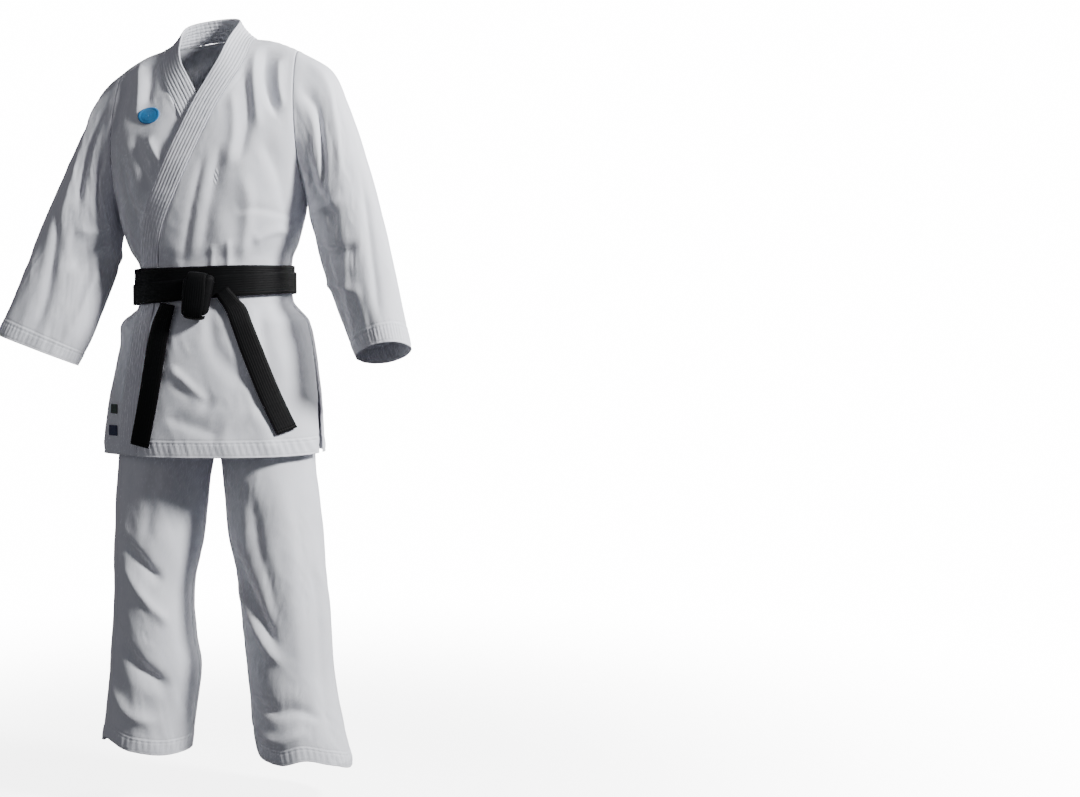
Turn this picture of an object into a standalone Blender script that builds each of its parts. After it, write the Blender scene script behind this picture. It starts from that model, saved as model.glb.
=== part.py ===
"""Karate uniform, worn, with nobody in it: wrapped jacket, trousers and knotted belt.

Metres, +Z up. +X is the wearer's left and the front faces -Y. The origin is the
middle of the shoulder line at the base of the neck, where the wearer holds it up.
Every piece is a cloth wall. Jacket, collar and belt are read from one skin, the
outer face of the jacket round the trunk, moved in or out by their layer.
"""
import math

import bmesh
import bpy
from mathutils import Vector

# Driving dimensions
CLOTH = 0.002
BAND_THICK = 0.0045
BAND_WIDTH = 0.045
BAND_PROUD = 0.0012
BELT_WIDTH = 0.040
BELT_THICK = 0.0028
SEAM_GAP = 0.0005
TUCK = 0.0068
HEM_HEIGHT = -0.785
ARMPIT_HEIGHT = -0.300
ARMHOLE_TOP_X = 0.170
ARMHOLE_LOW_X = 0.183
NECK_SIDE_X = 0.086
NECK_BACK_HEIGHT = 0.008
BELT_HEIGHT = -0.460
ROUNDNESS = 2.3
LEAN_TOP = 0.105
LEAN_FOOT_HEIGHT = -0.80
LEAN_FULL_HEIGHT = -0.05
SLIT_TOP = -0.60
SLIT_OPEN = 0.006
HEM_FLARE_LEFT = 0.004
HEM_FLARE_RIGHT = 0.015
CROTCH_HEIGHT = -0.745
SIDE_BULGE = 0.009
SIDE_BULGE_HEIGHT = -0.522
WAISTBAND_THICK = 0.003
WAISTBAND_HEIGHT = 0.040
INNER_WRAP_OUT = 0.0062
OUTER_WRAP_OUT = 0.0095
WRAP_STAGGER = 0.0107
WRAP_TILT = 0.030
KNOT_WIDTH = 0.064
KNOT_DEPTH = 0.030
KNOT_HEIGHT = 0.084
KNOT_LEAN = 0.12
KNOT_FOOT_SHARE = 0.86
KNOT_X = 0.004
KNOT_Z = -0.484
KNOT_ROUND = 0.0105
CUFF_TILT_LEFT = 0.36
CUFF_TILT_RIGHT = 0.14
LABEL_THICK = 0.0008
LABEL_LIFT = 0.0018
LABEL_COLUMNS = (-0.186, -0.180, -0.174)

# Rows and columns of the sheets
LOW_ROWS = 15
HIGH_ROWS = 9
BACK_COLUMNS = 23
LEFT_FRONT_COLUMNS = 23
RIGHT_FRONT_COLUMNS = 19
NECK_ROWS = 8
BAND_COLUMNS = (0.0, 0.5, 1.0)
SEAM_STEP = 0.15
SLEEVE_ROWS = 13
SLEEVE_COLUMNS = 22
LEG_COLUMNS = 22
LEG_HIGH_ROWS = (0.0, 0.06, 0.12, 0.18, 0.23, 0.27, 0.30, 0.32, 0.35, 0.39, 0.44)
LEG_LOW_ROWS = 14
LEG_LOW_START = 0.49
WAIST_COLUMNS = 34
WRAP_COLUMNS = 42
TAIL_ROWS = 16

# The folds of sleeves and legs lie on a flat map: metres a degree, metres from end to end
SLEEVE_MAP = (0.0018, 0.55)
LEG_MAP = (0.0016, 0.92)

# Trunk sections: height, half width, front depth, back depth
TRUNK = (
    (-0.800, 0.205, 0.146, 0.150),
    (-0.700, 0.202, 0.141, 0.147),
    (-0.600, 0.193, 0.132, 0.139),
    (-0.540, 0.180, 0.122, 0.126),
    (-0.500, 0.1490, 0.109, 0.107),
    (-0.480, 0.147, 0.108, 0.105),
    (-0.460, 0.147, 0.108, 0.105),
    (-0.440, 0.147, 0.108, 0.105),
    (-0.420, 0.1490, 0.109, 0.106),
    (-0.390, 0.162, 0.117, 0.114),
    (-0.340, 0.175, 0.124, 0.121),
    (-0.300, 0.183, 0.128, 0.126),
    (-0.220, 0.205, 0.130, 0.133),
    (-0.140, 0.232, 0.124, 0.134),
    (-0.060, 0.250, 0.110, 0.125),
    (0.050, 0.255, 0.095, 0.110),
)

# Shoulder line: distance from the middle, height
SHOULDER = (
    (0.000, 0.045),
    (0.040, 0.031),
    (0.086, -0.004),
    (0.120, -0.013),
    (0.150, -0.026),
    (0.175, -0.040),
    (0.210, -0.062),
    (0.260, -0.110),
)

# Seam between the left front and the collar band: height, x
LAPEL = (
    (-0.790, -0.118),
    (-0.680, -0.111),
    (-0.577, -0.099),
    (-0.500, -0.091),
    (-0.422, -0.0815),
    (-0.354, -0.067),
    (-0.314, -0.0490),
    (-0.238, -0.012),
    (-0.185, 0.0135),
    (-0.133, 0.038),
    (-0.099, 0.0565),
    (-0.067, 0.0735),
    (-0.036, 0.0835),
    (-0.004, 0.0860),
)

# How far the band stands up off the cloth: path position, degrees.
# The path is 0 at the back of the neck, 1 on the shoulder line, 2 at armpit height
STAND = (
    (0.00, 12.0),
    (0.50, 16.0),
    (1.00, 22.0),
    (1.30, 16.0),
    (1.60, 5.0),
    (1.80, 0.0),
    (3.00, 0.0),
)

# Sleeve lines: way along, top x, top z, under x, under z, middle y, half depth, turn
SLEEVE_LEFT = (
    (0.00, 0.170, -0.037, 0.183, -0.300, 0.000, 0.075, 0.0),
    (0.15, 0.231, -0.080, 0.187, -0.322, -0.002, 0.078, 0.0),
    (0.30, 0.264, -0.143, 0.191, -0.350, -0.006, 0.076, 6.0),
    (0.50, 0.304, -0.250, 0.203, -0.392, -0.020, 0.070, 14.0),
    (0.70, 0.344, -0.375, 0.226, -0.462, -0.042, 0.062, 24.0),
    (0.85, 0.372, -0.480, 0.254, -0.530, -0.062, 0.055, 32.0),
    (1.00, 0.399, -0.592, 0.294, -0.608, -0.083, 0.050, 38.0),
)
SLEEVE_RIGHT = (
    (0.00, 0.170, -0.037, 0.183, -0.300, 0.000, 0.075, 0.0),
    (0.15, 0.215, -0.072, 0.186, -0.325, -0.001, 0.078, 0.0),
    (0.30, 0.241, -0.130, 0.186, -0.356, -0.006, 0.074, 3.0),
    (0.50, 0.283, -0.228, 0.187, -0.405, -0.022, 0.064, 7.0),
    (0.70, 0.331, -0.350, 0.199, -0.468, -0.042, 0.052, 11.0),
    (0.85, 0.360, -0.446, 0.219, -0.535, -0.062, 0.043, 14.0),
    (1.00, 0.397, -0.546, 0.250, -0.609, -0.083, 0.034, 15.0),
)

# Trouser legs: height, middle x, half width, front depth, back depth
LEG_LEFT = (
    (-0.460, 0.000, 0.131, 0.088, 0.1022),
    (-0.540, 0.010, 0.139, 0.094, 0.104),
    (-0.620, 0.034, 0.138, 0.098, 0.118),
    (-0.690, 0.068, 0.117, 0.100, 0.124),
    (-0.745, 0.093, 0.095, 0.100, 0.122),
    (-0.820, 0.104, 0.0885, 0.100, 0.114),
    (-0.940, 0.115, 0.090, 0.098, 0.106),
    (-1.060, 0.132, 0.084, 0.098, 0.098),
    (-1.200, 0.141, 0.083, 0.092, 0.094),
    (-1.290, 0.154, 0.086, 0.090, 0.092),
    (-1.380, 0.169, 0.090, 0.090, 0.092),
)
LEG_RIGHT = (
    (-0.460, 0.000, 0.131, 0.088, 0.1022),
    (-0.540, 0.010, 0.139, 0.094, 0.104),
    (-0.620, 0.034, 0.138, 0.098, 0.118),
    (-0.690, 0.068, 0.117, 0.100, 0.124),
    (-0.745, 0.093, 0.095, 0.100, 0.122),
    (-0.820, 0.104, 0.0885, 0.100, 0.114),
    (-0.940, 0.115, 0.086, 0.098, 0.106),
    (-1.060, 0.128, 0.075, 0.098, 0.098),
    (-1.145, 0.131, 0.080, 0.094, 0.096),
    (-1.205, 0.128, 0.088, 0.090, 0.092),
    (-1.290, 0.138, 0.088, 0.088, 0.090),
    (-1.380, 0.149, 0.088, 0.088, 0.090),
)

# Trouser hems: angle from the outer side (90 is the front), height
HEM_LEFT = ((-180, -1.330), (-90, -1.375), (0, -1.396), (40, -1.380), (75, -1.366),
            (105, -1.376), (140, -1.370), (180, -1.330))
HEM_RIGHT = ((-180, -1.368), (-90, -1.360), (0, -1.357), (40, -1.338), (85, -1.356),
             (140, -1.368), (180, -1.368))

# Belt tails: way down, x, height, half width, distance out from the skin
TAIL_LEFT = (
    (0.00, -0.057, -0.4972, 0.0150, 0.0095),
    (0.20, -0.068, -0.545, 0.0190, 0.0090),
    (0.40, -0.077, -0.600, 0.0200, 0.0085),
    (0.70, -0.089, -0.680, 0.0200, 0.0085),
    (1.00, -0.106, -0.764, 0.0200, 0.0085),
)
TAIL_RIGHT = (
    (0.00, 0.045, -0.476, 0.0130, 0.0132),
    (0.18, 0.077, -0.527, 0.0165, 0.0110),
    (0.40, 0.100, -0.582, 0.0180, 0.0090),
    (0.70, 0.129, -0.658, 0.0175, 0.0090),
    (1.00, 0.161, -0.738, 0.0165, 0.0090),
)

# Large folds on the trunk: side, start x, start z, end x, end z, depth, half width
TRUNK_FOLDS = (
    ("front", 0.118, -0.040, 0.128, -0.125, 0.010, 0.020),
    ("front", 0.100, -0.090, 0.085, -0.240, 0.006, 0.018),
    ("front", 0.120, -0.210, 0.050, -0.400, 0.005, 0.032),
    ("front", -0.090, -0.120, -0.096, -0.260, 0.006, 0.018),
    ("front", 0.005, -0.570, 0.110, -0.640, 0.006, 0.022),
    ("back", 0.075, -0.120, 0.060, -0.380, 0.007, 0.026),
    ("back", -0.075, -0.120, -0.060, -0.380, 0.007, 0.026),
    ("back", 0.060, -0.540, 0.085, -0.740, 0.007, 0.030),
    ("back", -0.060, -0.540, -0.085, -0.740, 0.007, 0.030),
)

# Large folds on sleeves and legs: start angle, start way, end angle, end way, depth, width
SLEEVE_FOLDS = (
    (60, 0.10, 70, 0.60, 0.008, 0.030),
    (120, 0.25, 95, 0.95, 0.007, 0.028),
    (250, 0.15, 290, 0.90, 0.008, 0.030),
)
LEG_LEFT_FOLDS = (
    (140, 0.62, 85, 0.76, 0.014, 0.026),
    (150, 0.86, 40, 0.90, 0.009, 0.024),
    (250, 0.45, 300, 0.80, 0.008, 0.030),
)
LEG_RIGHT_FOLDS = (
    (60, 0.55, 120, 0.63, 0.012, 0.024),
    (40, 0.80, 130, 0.86, 0.015, 0.030),
    (250, 0.45, 300, 0.80, 0.008, 0.030),
)

CANVAS_WHITE = (0.80, 0.81, 0.84, 1.0)
CANVAS_SHADE = (0.74, 0.75, 0.79, 1.0)
BELT_BLACK = (0.010, 0.010, 0.012, 1.0)
LABEL_NAVY = (0.020, 0.035, 0.110, 1.0)


def clear_scene():
    for item in list(bpy.data.objects):
        bpy.data.objects.remove(item, do_unlink=True)


def new_collection(name):
    collection = bpy.data.collections.new(name)
    bpy.context.scene.collection.children.link(collection)
    return collection


def cloth_material(name, colour, roughness):
    material = bpy.data.materials.new(name)
    material.use_nodes = True
    shader = material.node_tree.nodes["Principled BSDF"]
    shader.inputs["Base Color"].default_value = colour
    shader.inputs["Roughness"].default_value = roughness
    shader.inputs["Metallic"].default_value = 0.0
    return material


def clamp(value, low=0.0, high=1.0):
    return max(low, min(high, value))


def ease(value):
    """0 to 1 with a level start and end."""
    t = clamp(value)
    return t * t * (3.0 - 2.0 * t)


def mix(a, b, t):
    return a + (b - a) * t


def read(table, key):
    """A row of the table at key, on a smooth curve through its rows that never overshoots."""
    rows = sorted(table)
    if key <= rows[0][0]:
        return rows[0][1:]
    if key >= rows[-1][0]:
        return rows[-1][1:]
    i = max(k for k in range(len(rows) - 1) if rows[k][0] <= key)
    span = rows[i + 1][0] - rows[i][0]
    t = (key - rows[i][0]) / span
    result = []
    for c in range(1, len(rows[0])):
        steps = [(rows[k + 1][c] - rows[k][c]) / (rows[k + 1][0] - rows[k][0])
                 for k in range(len(rows) - 1)]
        slopes = []
        for k in (i, i + 1):
            before = steps[k - 1] if k > 0 else steps[k]
            after = steps[k] if k < len(steps) else steps[k - 1]
            level = before * after <= 0.0
            slopes.append(0.0 if level else 2.0 * before * after / (before + after))
        start = rows[i][c]
        end = rows[i + 1][c]
        curve = (start * (1 + 2 * t) * (1 - t) ** 2 + slopes[0] * span * t * (1 - t) ** 2
                 + end * t * t * (3 - 2 * t) + slopes[1] * span * t * t * (t - 1))
        result.append(curve)
    return tuple(result)


def posed(point):
    """The worn tilt: the wearer's left shoulder is a little higher, the hem is level."""
    x, y, z = point
    share = clamp((z - LEAN_FOOT_HEIGHT) / (LEAN_FULL_HEIGHT - LEAN_FOOT_HEIGHT))
    return Vector((x, y, z + LEAN_TOP * share * x))


def shoulder_height(x):
    return read(SHOULDER, abs(x))[0]


def rise(x, z):
    """0 at armpit height and below, 1 on the shoulder line."""
    return clamp((z - ARMPIT_HEIGHT) / (shoulder_height(x) - ARMPIT_HEIGHT))


def skin_y(x, z, side):
    """Depth of the trunk skin at x and z; side is -1 for the front and 1 for the back."""
    half_width, front, back = read(TRUNK, z)
    depth = front if side < 0 else back
    across = clamp(1.0 - (abs(x) / half_width) ** ROUNDNESS)
    over = clamp(1.0 - rise(x, z) ** ROUNDNESS)
    return side * depth * (across * over) ** (1.0 / ROUNDNESS)


def skin_value(x, y, z):
    """Negative inside the trunk, zero on its skin, positive outside."""
    half_width, front, back = read(TRUNK, z)
    depth = front if y < 0 else back
    height = (z - ARMPIT_HEIGHT) / (shoulder_height(x) - ARMPIT_HEIGHT)
    across = 1.0 - (abs(x) / half_width) ** ROUNDNESS
    over = 1.0 - max(0.0, height) ** ROUNDNESS
    return (abs(y) / depth) ** ROUNDNESS - across * over


def skin_normal(x, y, z):
    step = 0.0005
    slope = Vector((skin_value(x + step, y, z) - skin_value(x - step, y, z),
                    skin_value(x, y + step, z) - skin_value(x, y - step, z),
                    skin_value(x, y, z + step) - skin_value(x, y, z - step)))
    return slope.normalized()


def fold_depth(x, z, folds):
    """Sum of the soft troughs near a point on a flat map of the surface."""
    total = 0.0
    for start_x, start_z, end_x, end_z, depth, half_width in folds:
        run_x = end_x - start_x
        run_z = end_z - start_z
        along = clamp(((x - start_x) * run_x + (z - start_z) * run_z)
                      / (run_x ** 2 + run_z ** 2))
        off_x = x - start_x - run_x * along
        off_z = z - start_z - run_z * along
        away = math.hypot(off_x, off_z) / half_width
        fade = ease(4.0 * along + 0.2) * ease(4.0 * (1.0 - along) + 0.2)
        total += depth * fade * math.exp(-away ** 2 * 2.0)
    return total


def mapped_fold(degrees, way, folds, flat_map):
    """Trough depth on a tube, whose folds are given by angle and way along."""
    wide, long = flat_map
    return fold_depth(degrees * wide, way * long, [
        (a * wide, start * long, b * wide, end * long, depth, half_width)
        for a, start, b, end, depth, half_width in folds])


def trunk_fold(x, z, side):
    name = "front" if side < 0 else "back"
    return fold_depth(x, z, [row[1:] for row in TRUNK_FOLDS if row[0] == name])


def skin_point(x, z, side, out=0.0, folded=True):
    """A point of the trunk skin, moved out along its normal, before the pose."""
    y = skin_y(x, z, side)
    sink = trunk_fold(x, z, side) if folded else 0.0
    return Vector((x, y, z)) + skin_normal(x, y, z) * (out - sink)


def lapel_x(z):
    return read(LAPEL, z)[0]


def armhole_x(z):
    share = (z - ARMPIT_HEIGHT) / (shoulder_height(ARMHOLE_TOP_X) - ARMPIT_HEIGHT)
    return mix(ARMHOLE_LOW_X, ARMHOLE_TOP_X, clamp(share))


def free_edge_x(z):
    """Where the outer band's free edge lies over the inner front at this height."""
    slope = (lapel_x(z + 0.01) - lapel_x(z - 0.01)) / 0.02
    return lapel_x(z) - BAND_WIDTH * math.hypot(1.0, slope)


def side_flare(x, z):
    """Beside the slits, and on the wearer's right under the belt, the cloth stands out."""
    most = HEM_FLARE_RIGHT if x < 0.0 else HEM_FLARE_LEFT
    bulge = SIDE_BULGE if x < 0.0 else 0.0
    near_side = ease(6.0 * abs(x) / read(TRUNK, z)[0] - 5.0)
    under_belt = math.exp(-((z - SIDE_BULGE_HEIGHT) / 0.024) ** 2)
    return (most * ease((SLIT_TOP - z) / 0.16) + bulge * under_belt) * near_side


def tuck(x, z):
    """The inner front sinks as it passes under the outer band."""
    edge = free_edge_x(z)
    return side_flare(min(x, 0.0), z) - TUCK * ease((x - edge + 0.055) / 0.050)


def outer_layer(x, z):
    """The outer front lies on the trunk skin everywhere."""
    return 0.0


def settle(rule, start):
    """A value that its own rule gives back, found by repeating the rule."""
    value = start
    for _ in range(12):
        value = rule(value)
    return value


def height_at(x, climb):
    return ARMPIT_HEIGHT + climb * (shoulder_height(x) - ARMPIT_HEIGHT)


def side_edge_x(climb, gap):
    return settle(lambda x: armhole_x(height_at(x, climb)), 0.175) - gap


def lapel_edge_x(climb):
    return settle(lambda x: lapel_x(height_at(x, climb)), 0.05)


def spread(count):
    """Even steps from 0 to 1, with a narrow extra step inside each end for the seams."""
    steps = [k / (count - 1) for k in range(count)]
    narrow = SEAM_STEP * steps[1]
    return [0.0, narrow] + steps[1:-1] + [1.0 - narrow, 1.0]


def grid_object(name, rows, material, thick, closed=False, inside=None):
    """An open sheet of rows of points, turned to face out, thickened inwards."""
    mesh = bpy.data.meshes.new(name)
    build = bmesh.new()
    verts = [[build.verts.new(point) for point in row] for row in rows]
    width = len(rows[0])
    for i in range(len(rows) - 1):
        for j in range(width if closed else width - 1):
            k = (j + 1) % width
            build.faces.new((verts[i][j], verts[i][k], verts[i + 1][k], verts[i + 1][j]))
    build.normal_update()
    middle = inside
    if middle is None:
        middle = sum((v.co for v in build.verts), Vector()) / len(build.verts)
    facing = 0.0
    for face in build.faces:
        centre = face.calc_center_median()
        target = middle if inside is not None else Vector((middle.x, middle.y, centre.z))
        facing += face.normal.dot(centre - target) * face.calc_area()
    if facing < 0.0:
        bmesh.ops.reverse_faces(build, faces=list(build.faces))
    build.to_mesh(mesh)
    build.free()
    mesh.shade_smooth()
    item = bpy.data.objects.new(name, mesh)
    PARTS.objects.link(item)
    mesh.materials.append(material)
    shell = item.modifiers.new("wall", "SOLIDIFY")
    shell.thickness = thick
    shell.offset = -1.0
    shell.use_even_offset = False
    return item


def high_turns():
    turns = [k / HIGH_ROWS for k in range(HIGH_ROWS + 1)]
    turns.insert(-1, 1.0 - 0.25 / HIGH_ROWS)
    return turns


def trunk_rows():
    """Levels of a trunk panel: heights below the armpit, then climbs to the shoulder."""
    low = [("height", mix(HEM_HEIGHT, ARMPIT_HEIGHT, k / LOW_ROWS)) for k in range(LOW_ROWS)]
    high = [("climb", math.sin(0.5 * math.pi * t)) for t in high_turns()]
    return low + high


def girth_x(angle, half_width):
    return half_width * math.sin(angle)


def back_panel():
    columns = spread(BACK_COLUMNS)
    rows = []
    for kind, level in trunk_rows():
        row = []
        for share in columns:
            side = 2.0 * share - 1.0
            if kind == "height":
                opened = SLIT_OPEN * ease((SLIT_TOP - level) / 0.15)
                half_width = read(TRUNK, level)[0]
                reach = 0.5 * math.pi - (0.5 * SEAM_GAP + opened) / half_width
                x = girth_x(side * reach, half_width)
                row.append(posed(skin_point(x, level, 1, side_flare(x, level))))
            else:
                edge = side_edge_x(level, SEAM_GAP)
                reach = math.asin(clamp(edge / read(TRUNK, height_at(edge, level))[0]))
                if level == 0.0:
                    reach -= 0.5 * SEAM_GAP / edge
                row.append(posed(back_yoke_point(side, reach, level)))
        rows.append(row)
    return grid_object("jacket_back", rows, WHITE, CLOTH)


def neck_height(x):
    """Height of the back neckline at x."""
    fall = NECK_BACK_HEIGHT - shoulder_height(NECK_SIDE_X)
    return NECK_BACK_HEIGHT - fall * (abs(x) / NECK_SIDE_X) ** 2


def back_yoke_point(side, reach, climb):
    """A point of the back above the armpits; its top row is shoulder line and neckline."""
    x = settle(lambda x: girth_x(side * reach, read(TRUNK, height_at(x, climb))[0]), 0.0)
    top = shoulder_height(x)
    if abs(x) < NECK_SIDE_X:
        top = neck_height(x) - 2.0 * SEAM_GAP
    z = ARMPIT_HEIGHT + climb * (top - ARMPIT_HEIGHT)
    point = skin_point(x, z, 1)
    point.y += 0.5 * SEAM_GAP * climb ** 8
    return point


def front_panel(name, mirror, layer, columns):
    """A front from its side seam to its collar band seam; mirror is 1 for the left one."""
    rows = []
    for kind, level in trunk_rows():
        row = []
        for share in spread(columns):
            if kind == "height":
                opened = SLIT_OPEN * ease((SLIT_TOP - level) / 0.15)
                half_width = read(TRUNK, level)[0]
                start = 0.5 * math.pi - (0.5 * SEAM_GAP + opened) / half_width
                end = math.asin((lapel_x(level) + SEAM_GAP) / half_width)
                x = girth_x(mix(start, end, share), half_width)
                z = level
            else:
                edge = side_edge_x(level, SEAM_GAP)
                start = math.asin(clamp(edge / read(TRUNK, height_at(edge, level))[0]))
                if level == 0.0:
                    start -= 0.5 * SEAM_GAP / edge
                inner = lapel_edge_x(level) + SEAM_GAP
                end = math.asin(inner / read(TRUNK, height_at(inner, level))[0])
                turn = mix(start, end, share)
                x = settle(lambda x: girth_x(turn, read(TRUNK, height_at(x, level))[0]), 0.0)
                z = height_at(x, level)
            out = layer(mirror * x, z)
            point = skin_point(mirror * x, z, -1, out)
            if kind == "climb":
                point.y -= 0.5 * SEAM_GAP * level ** 8
            row.append(posed(point))
        rows.append(row)
    return grid_object(name, rows, WHITE, CLOTH)


def band_seam(way):
    """The collar band's seam on the skin: x, z and side, for a place on its path."""
    if way <= 1.0:
        x = NECK_SIDE_X * math.sin(0.5 * math.pi * way)
        return x, neck_height(x), 1
    if way <= 2.0:
        climb = math.cos(0.5 * math.pi * (way - 1.0))
        x = lapel_edge_x(climb)
        return x, height_at(x, climb), -1
    z = mix(ARMPIT_HEIGHT, HEM_HEIGHT, way - 2.0)
    return lapel_x(z), z, -1


def band_points(way, mirror, layer):
    """Points across the collar band, from its seam edge to its free edge."""
    x, z, side = band_seam(way)
    y = skin_y(x, z, side)
    step = 0.004
    ahead_x, ahead_z, ahead_side = band_seam(min(way + step, 3.0))
    behind_x, behind_z, behind_side = band_seam(max(way - step, 0.0))
    ahead = Vector((ahead_x, skin_y(ahead_x, ahead_z, ahead_side), ahead_z))
    behind = Vector((behind_x, skin_y(behind_x, behind_z, behind_side), behind_z))
    if way < step:
        behind = Vector((-ahead.x, ahead.y, ahead.z))
    run = (ahead - behind).normalized()
    normal = skin_normal(x, y, z)
    level = run.cross(normal).normalized()
    stand = math.radians(read(STAND, way)[0])
    lying = ease((way - 1.30) / 0.45)
    points = []
    for share in BAND_COLUMNS:
        flat = Vector((x, y, z)) + level * BAND_WIDTH * share
        upright = Vector((x, y, z)) + BAND_WIDTH * share * (
            level * math.cos(stand) + normal * math.sin(stand)) + normal * BAND_PROUD
        point = upright
        if lying > 0.0:
            out = layer(mirror * flat.x, flat.z) + BAND_PROUD
            laid = skin_point(mirror * flat.x, flat.z, -1, out)
            laid.x *= mirror
            point = upright.lerp(laid, lying)
        point.x *= mirror
        points.append(posed(point))
    return points


def smooth_neck(rows, middle, reach):
    """Evens out the standing part of the band round the neck; its seam edge stays."""
    for _ in range(6):
        before = [list(row) for row in rows]
        for i in range(middle - reach, middle + reach + 1):
            fade = ease((reach - abs(i - middle)) / 4.0)
            for j in range(1, len(rows[i])):
                around = (before[i - 1][j] + before[i + 1][j]) * 0.5
                rows[i][j] = before[i][j].lerp(around, 0.6 * fade)
    return rows


def collar_band(inner_layer, outer_layer):
    neck = [k / NECK_ROWS for k in range(NECK_ROWS)]
    chest = [2.0 - turn for turn in reversed(high_turns())]
    skirt = [2.0 + k / LOW_ROWS for k in range(1, LOW_ROWS + 1)]
    ways = neck + chest + skirt
    left = [band_points(way, 1, outer_layer) for way in ways]
    right = [band_points(way, -1, inner_layer) for way in ways[1:]]
    rows = smooth_neck(list(reversed(right)) + left, len(right), len(neck) + 4)
    return grid_object("collar_band", rows, SHADE, BAND_THICK)


def armhole_y(down):
    """Half width of the armhole, front and back, at a turn from its top (0) to its foot."""
    top = shoulder_height(ARMHOLE_TOP_X)
    z = mix(ARMPIT_HEIGHT, top, 0.5 + 0.5 * math.cos(down))
    x = armhole_x(z)
    side = -1 if math.sin(down) >= 0.0 else 1
    return skin_y(x, z, side)


def sleeve_point(table, folds, way, turn, mirror, cuff_tilt):
    """A point of a sleeve; turn 0 is its top line, 90 degrees its front."""
    top_x, top_z, under_x, under_z, middle_y, depth, twist = read(table, way)
    centre = Vector((0.5 * (top_x + under_x), middle_y, 0.5 * (top_z + under_z)))
    major = Vector((0.5 * (top_x - under_x), 0.0, 0.5 * (top_z - under_z)))
    length = major.length
    lead = Vector((0.0, -1.0, 0.0))
    spin = math.radians(twist)
    long_axis = major.normalized() * math.cos(spin) + lead * math.sin(spin)
    short_axis = lead * math.cos(spin) - major.normalized() * math.sin(spin)
    ring = (centre + long_axis * length * math.cos(turn) + short_axis * depth * math.sin(turn))
    ring_share = ease(way / 0.28)
    if ring_share < 1.0:
        start = centre + major * math.cos(turn)
        start.y = middle_y + armhole_y(turn)
        ring = start.lerp(ring, ring_share)
    outward = (ring - centre).normalized()
    sink = mapped_fold(math.degrees(turn) % 360.0, way, folds, SLEEVE_MAP)
    ring -= outward * sink * ease(way / 0.1) * ease((1.0 - way) / 0.05 + 0.2)
    ring.z -= cuff_tilt * (ring.y - middle_y) * ease((way - 0.55) / 0.45)
    ring.x = mirror * (ring.x + SEAM_GAP * (1.0 - ring_share))
    return posed(ring)


def sleeve(name, table, folds, mirror, cuff_tilt):
    ways = [0.0, 0.02] + [k / SLEEVE_ROWS for k in range(1, SLEEVE_ROWS + 1)]
    turns = [math.tau * k / SLEEVE_COLUMNS for k in range(SLEEVE_COLUMNS)]
    rows = [[sleeve_point(table, folds, way, turn, mirror, cuff_tilt) for turn in turns]
            for way in ways]
    return grid_object(name, rows, WHITE, CLOTH, closed=True)


def leg_point(table, hem, folds, drop, share, mirror):
    """A point of a trouser leg: drop 0 waist to 1 hem, share -1 to 1 from back to front."""
    top = table[0][0]
    foot = read(hem, 180.0 * share)[0]
    z = mix(top, foot, drop)
    middle, half_width, front, back = read(table, z)
    limit = math.pi
    if middle < half_width:
        limit = math.acos(-middle / half_width)
    turn = share * limit
    depth = front if turn > 0.0 else back
    x = middle + half_width * math.cos(turn)
    y = -depth * math.sin(turn)
    edge = 0.5 * SEAM_GAP
    x = max(x, edge)
    if abs(share) > 0.999 and abs(y) < edge:
        y = -math.copysign(edge, share)
    fade = ease((CROTCH_HEIGHT - 0.09 - z) / 0.10)
    outward = Vector((math.cos(turn), -math.sin(turn), 0.0))
    sink = mapped_fold(math.degrees(turn) % 360.0, drop, folds, LEG_MAP)
    point = Vector((x, y, z)) - outward * sink * fade
    point.x *= mirror
    return posed(point)


def leg(name, table, hem, folds, mirror):
    low = [mix(LEG_LOW_START, 1.0, k / LEG_LOW_ROWS) for k in range(LEG_LOW_ROWS + 1)]
    drops = list(LEG_HIGH_ROWS) + low
    shares = [2.0 * step - 1.0 for step in spread(LEG_COLUMNS)]
    rows = [[leg_point(table, hem, folds, drop, share, mirror) for share in shares]
            for drop in drops]
    return grid_object(name, rows, WHITE, CLOTH)


def ring_point(turn, half_width, front, back):
    depth = front if math.cos(turn) > 0.0 else back
    x = half_width * math.copysign(abs(math.sin(turn)) ** (2 / ROUNDNESS), math.sin(turn))
    y = -depth * math.copysign(abs(math.cos(turn)) ** (2 / ROUNDNESS), math.cos(turn))
    return Vector((x, y, 0.0))


def waistband():
    top, _, half_width, front, back = LEG_LEFT[0]
    rows = []
    for z in (top + SEAM_GAP, top + 0.5 * WAISTBAND_HEIGHT, top + WAISTBAND_HEIGHT):
        row = []
        for k in range(WAIST_COLUMNS):
            turn = math.tau * k / WAIST_COLUMNS
            depth = front if math.cos(turn) > 0.0 else back
            row.append(posed(Vector((half_width * math.sin(turn), -depth * math.cos(turn), z))))
        rows.append(row)
    return grid_object("trouser_waistband", rows, WHITE, WAISTBAND_THICK, closed=True)


def belt_wrap(name, out, middle, tilt):
    """One turn of the belt, standing straight, its middle line tilted across the body."""
    half_width, front, back = read(TRUNK, BELT_HEIGHT)
    rows = []
    for rise_share in (-0.5, 0.0, 0.5):
        row = []
        for k in range(WRAP_COLUMNS):
            turn = math.tau * k / WRAP_COLUMNS
            point = ring_point(turn, half_width + out, front + out, back + out)
            point.z = middle + tilt * point.x + BELT_WIDTH * rise_share
            row.append(posed(point))
        rows.append(row)
    return grid_object(name, rows, BLACK, BELT_THICK, closed=True)


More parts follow.
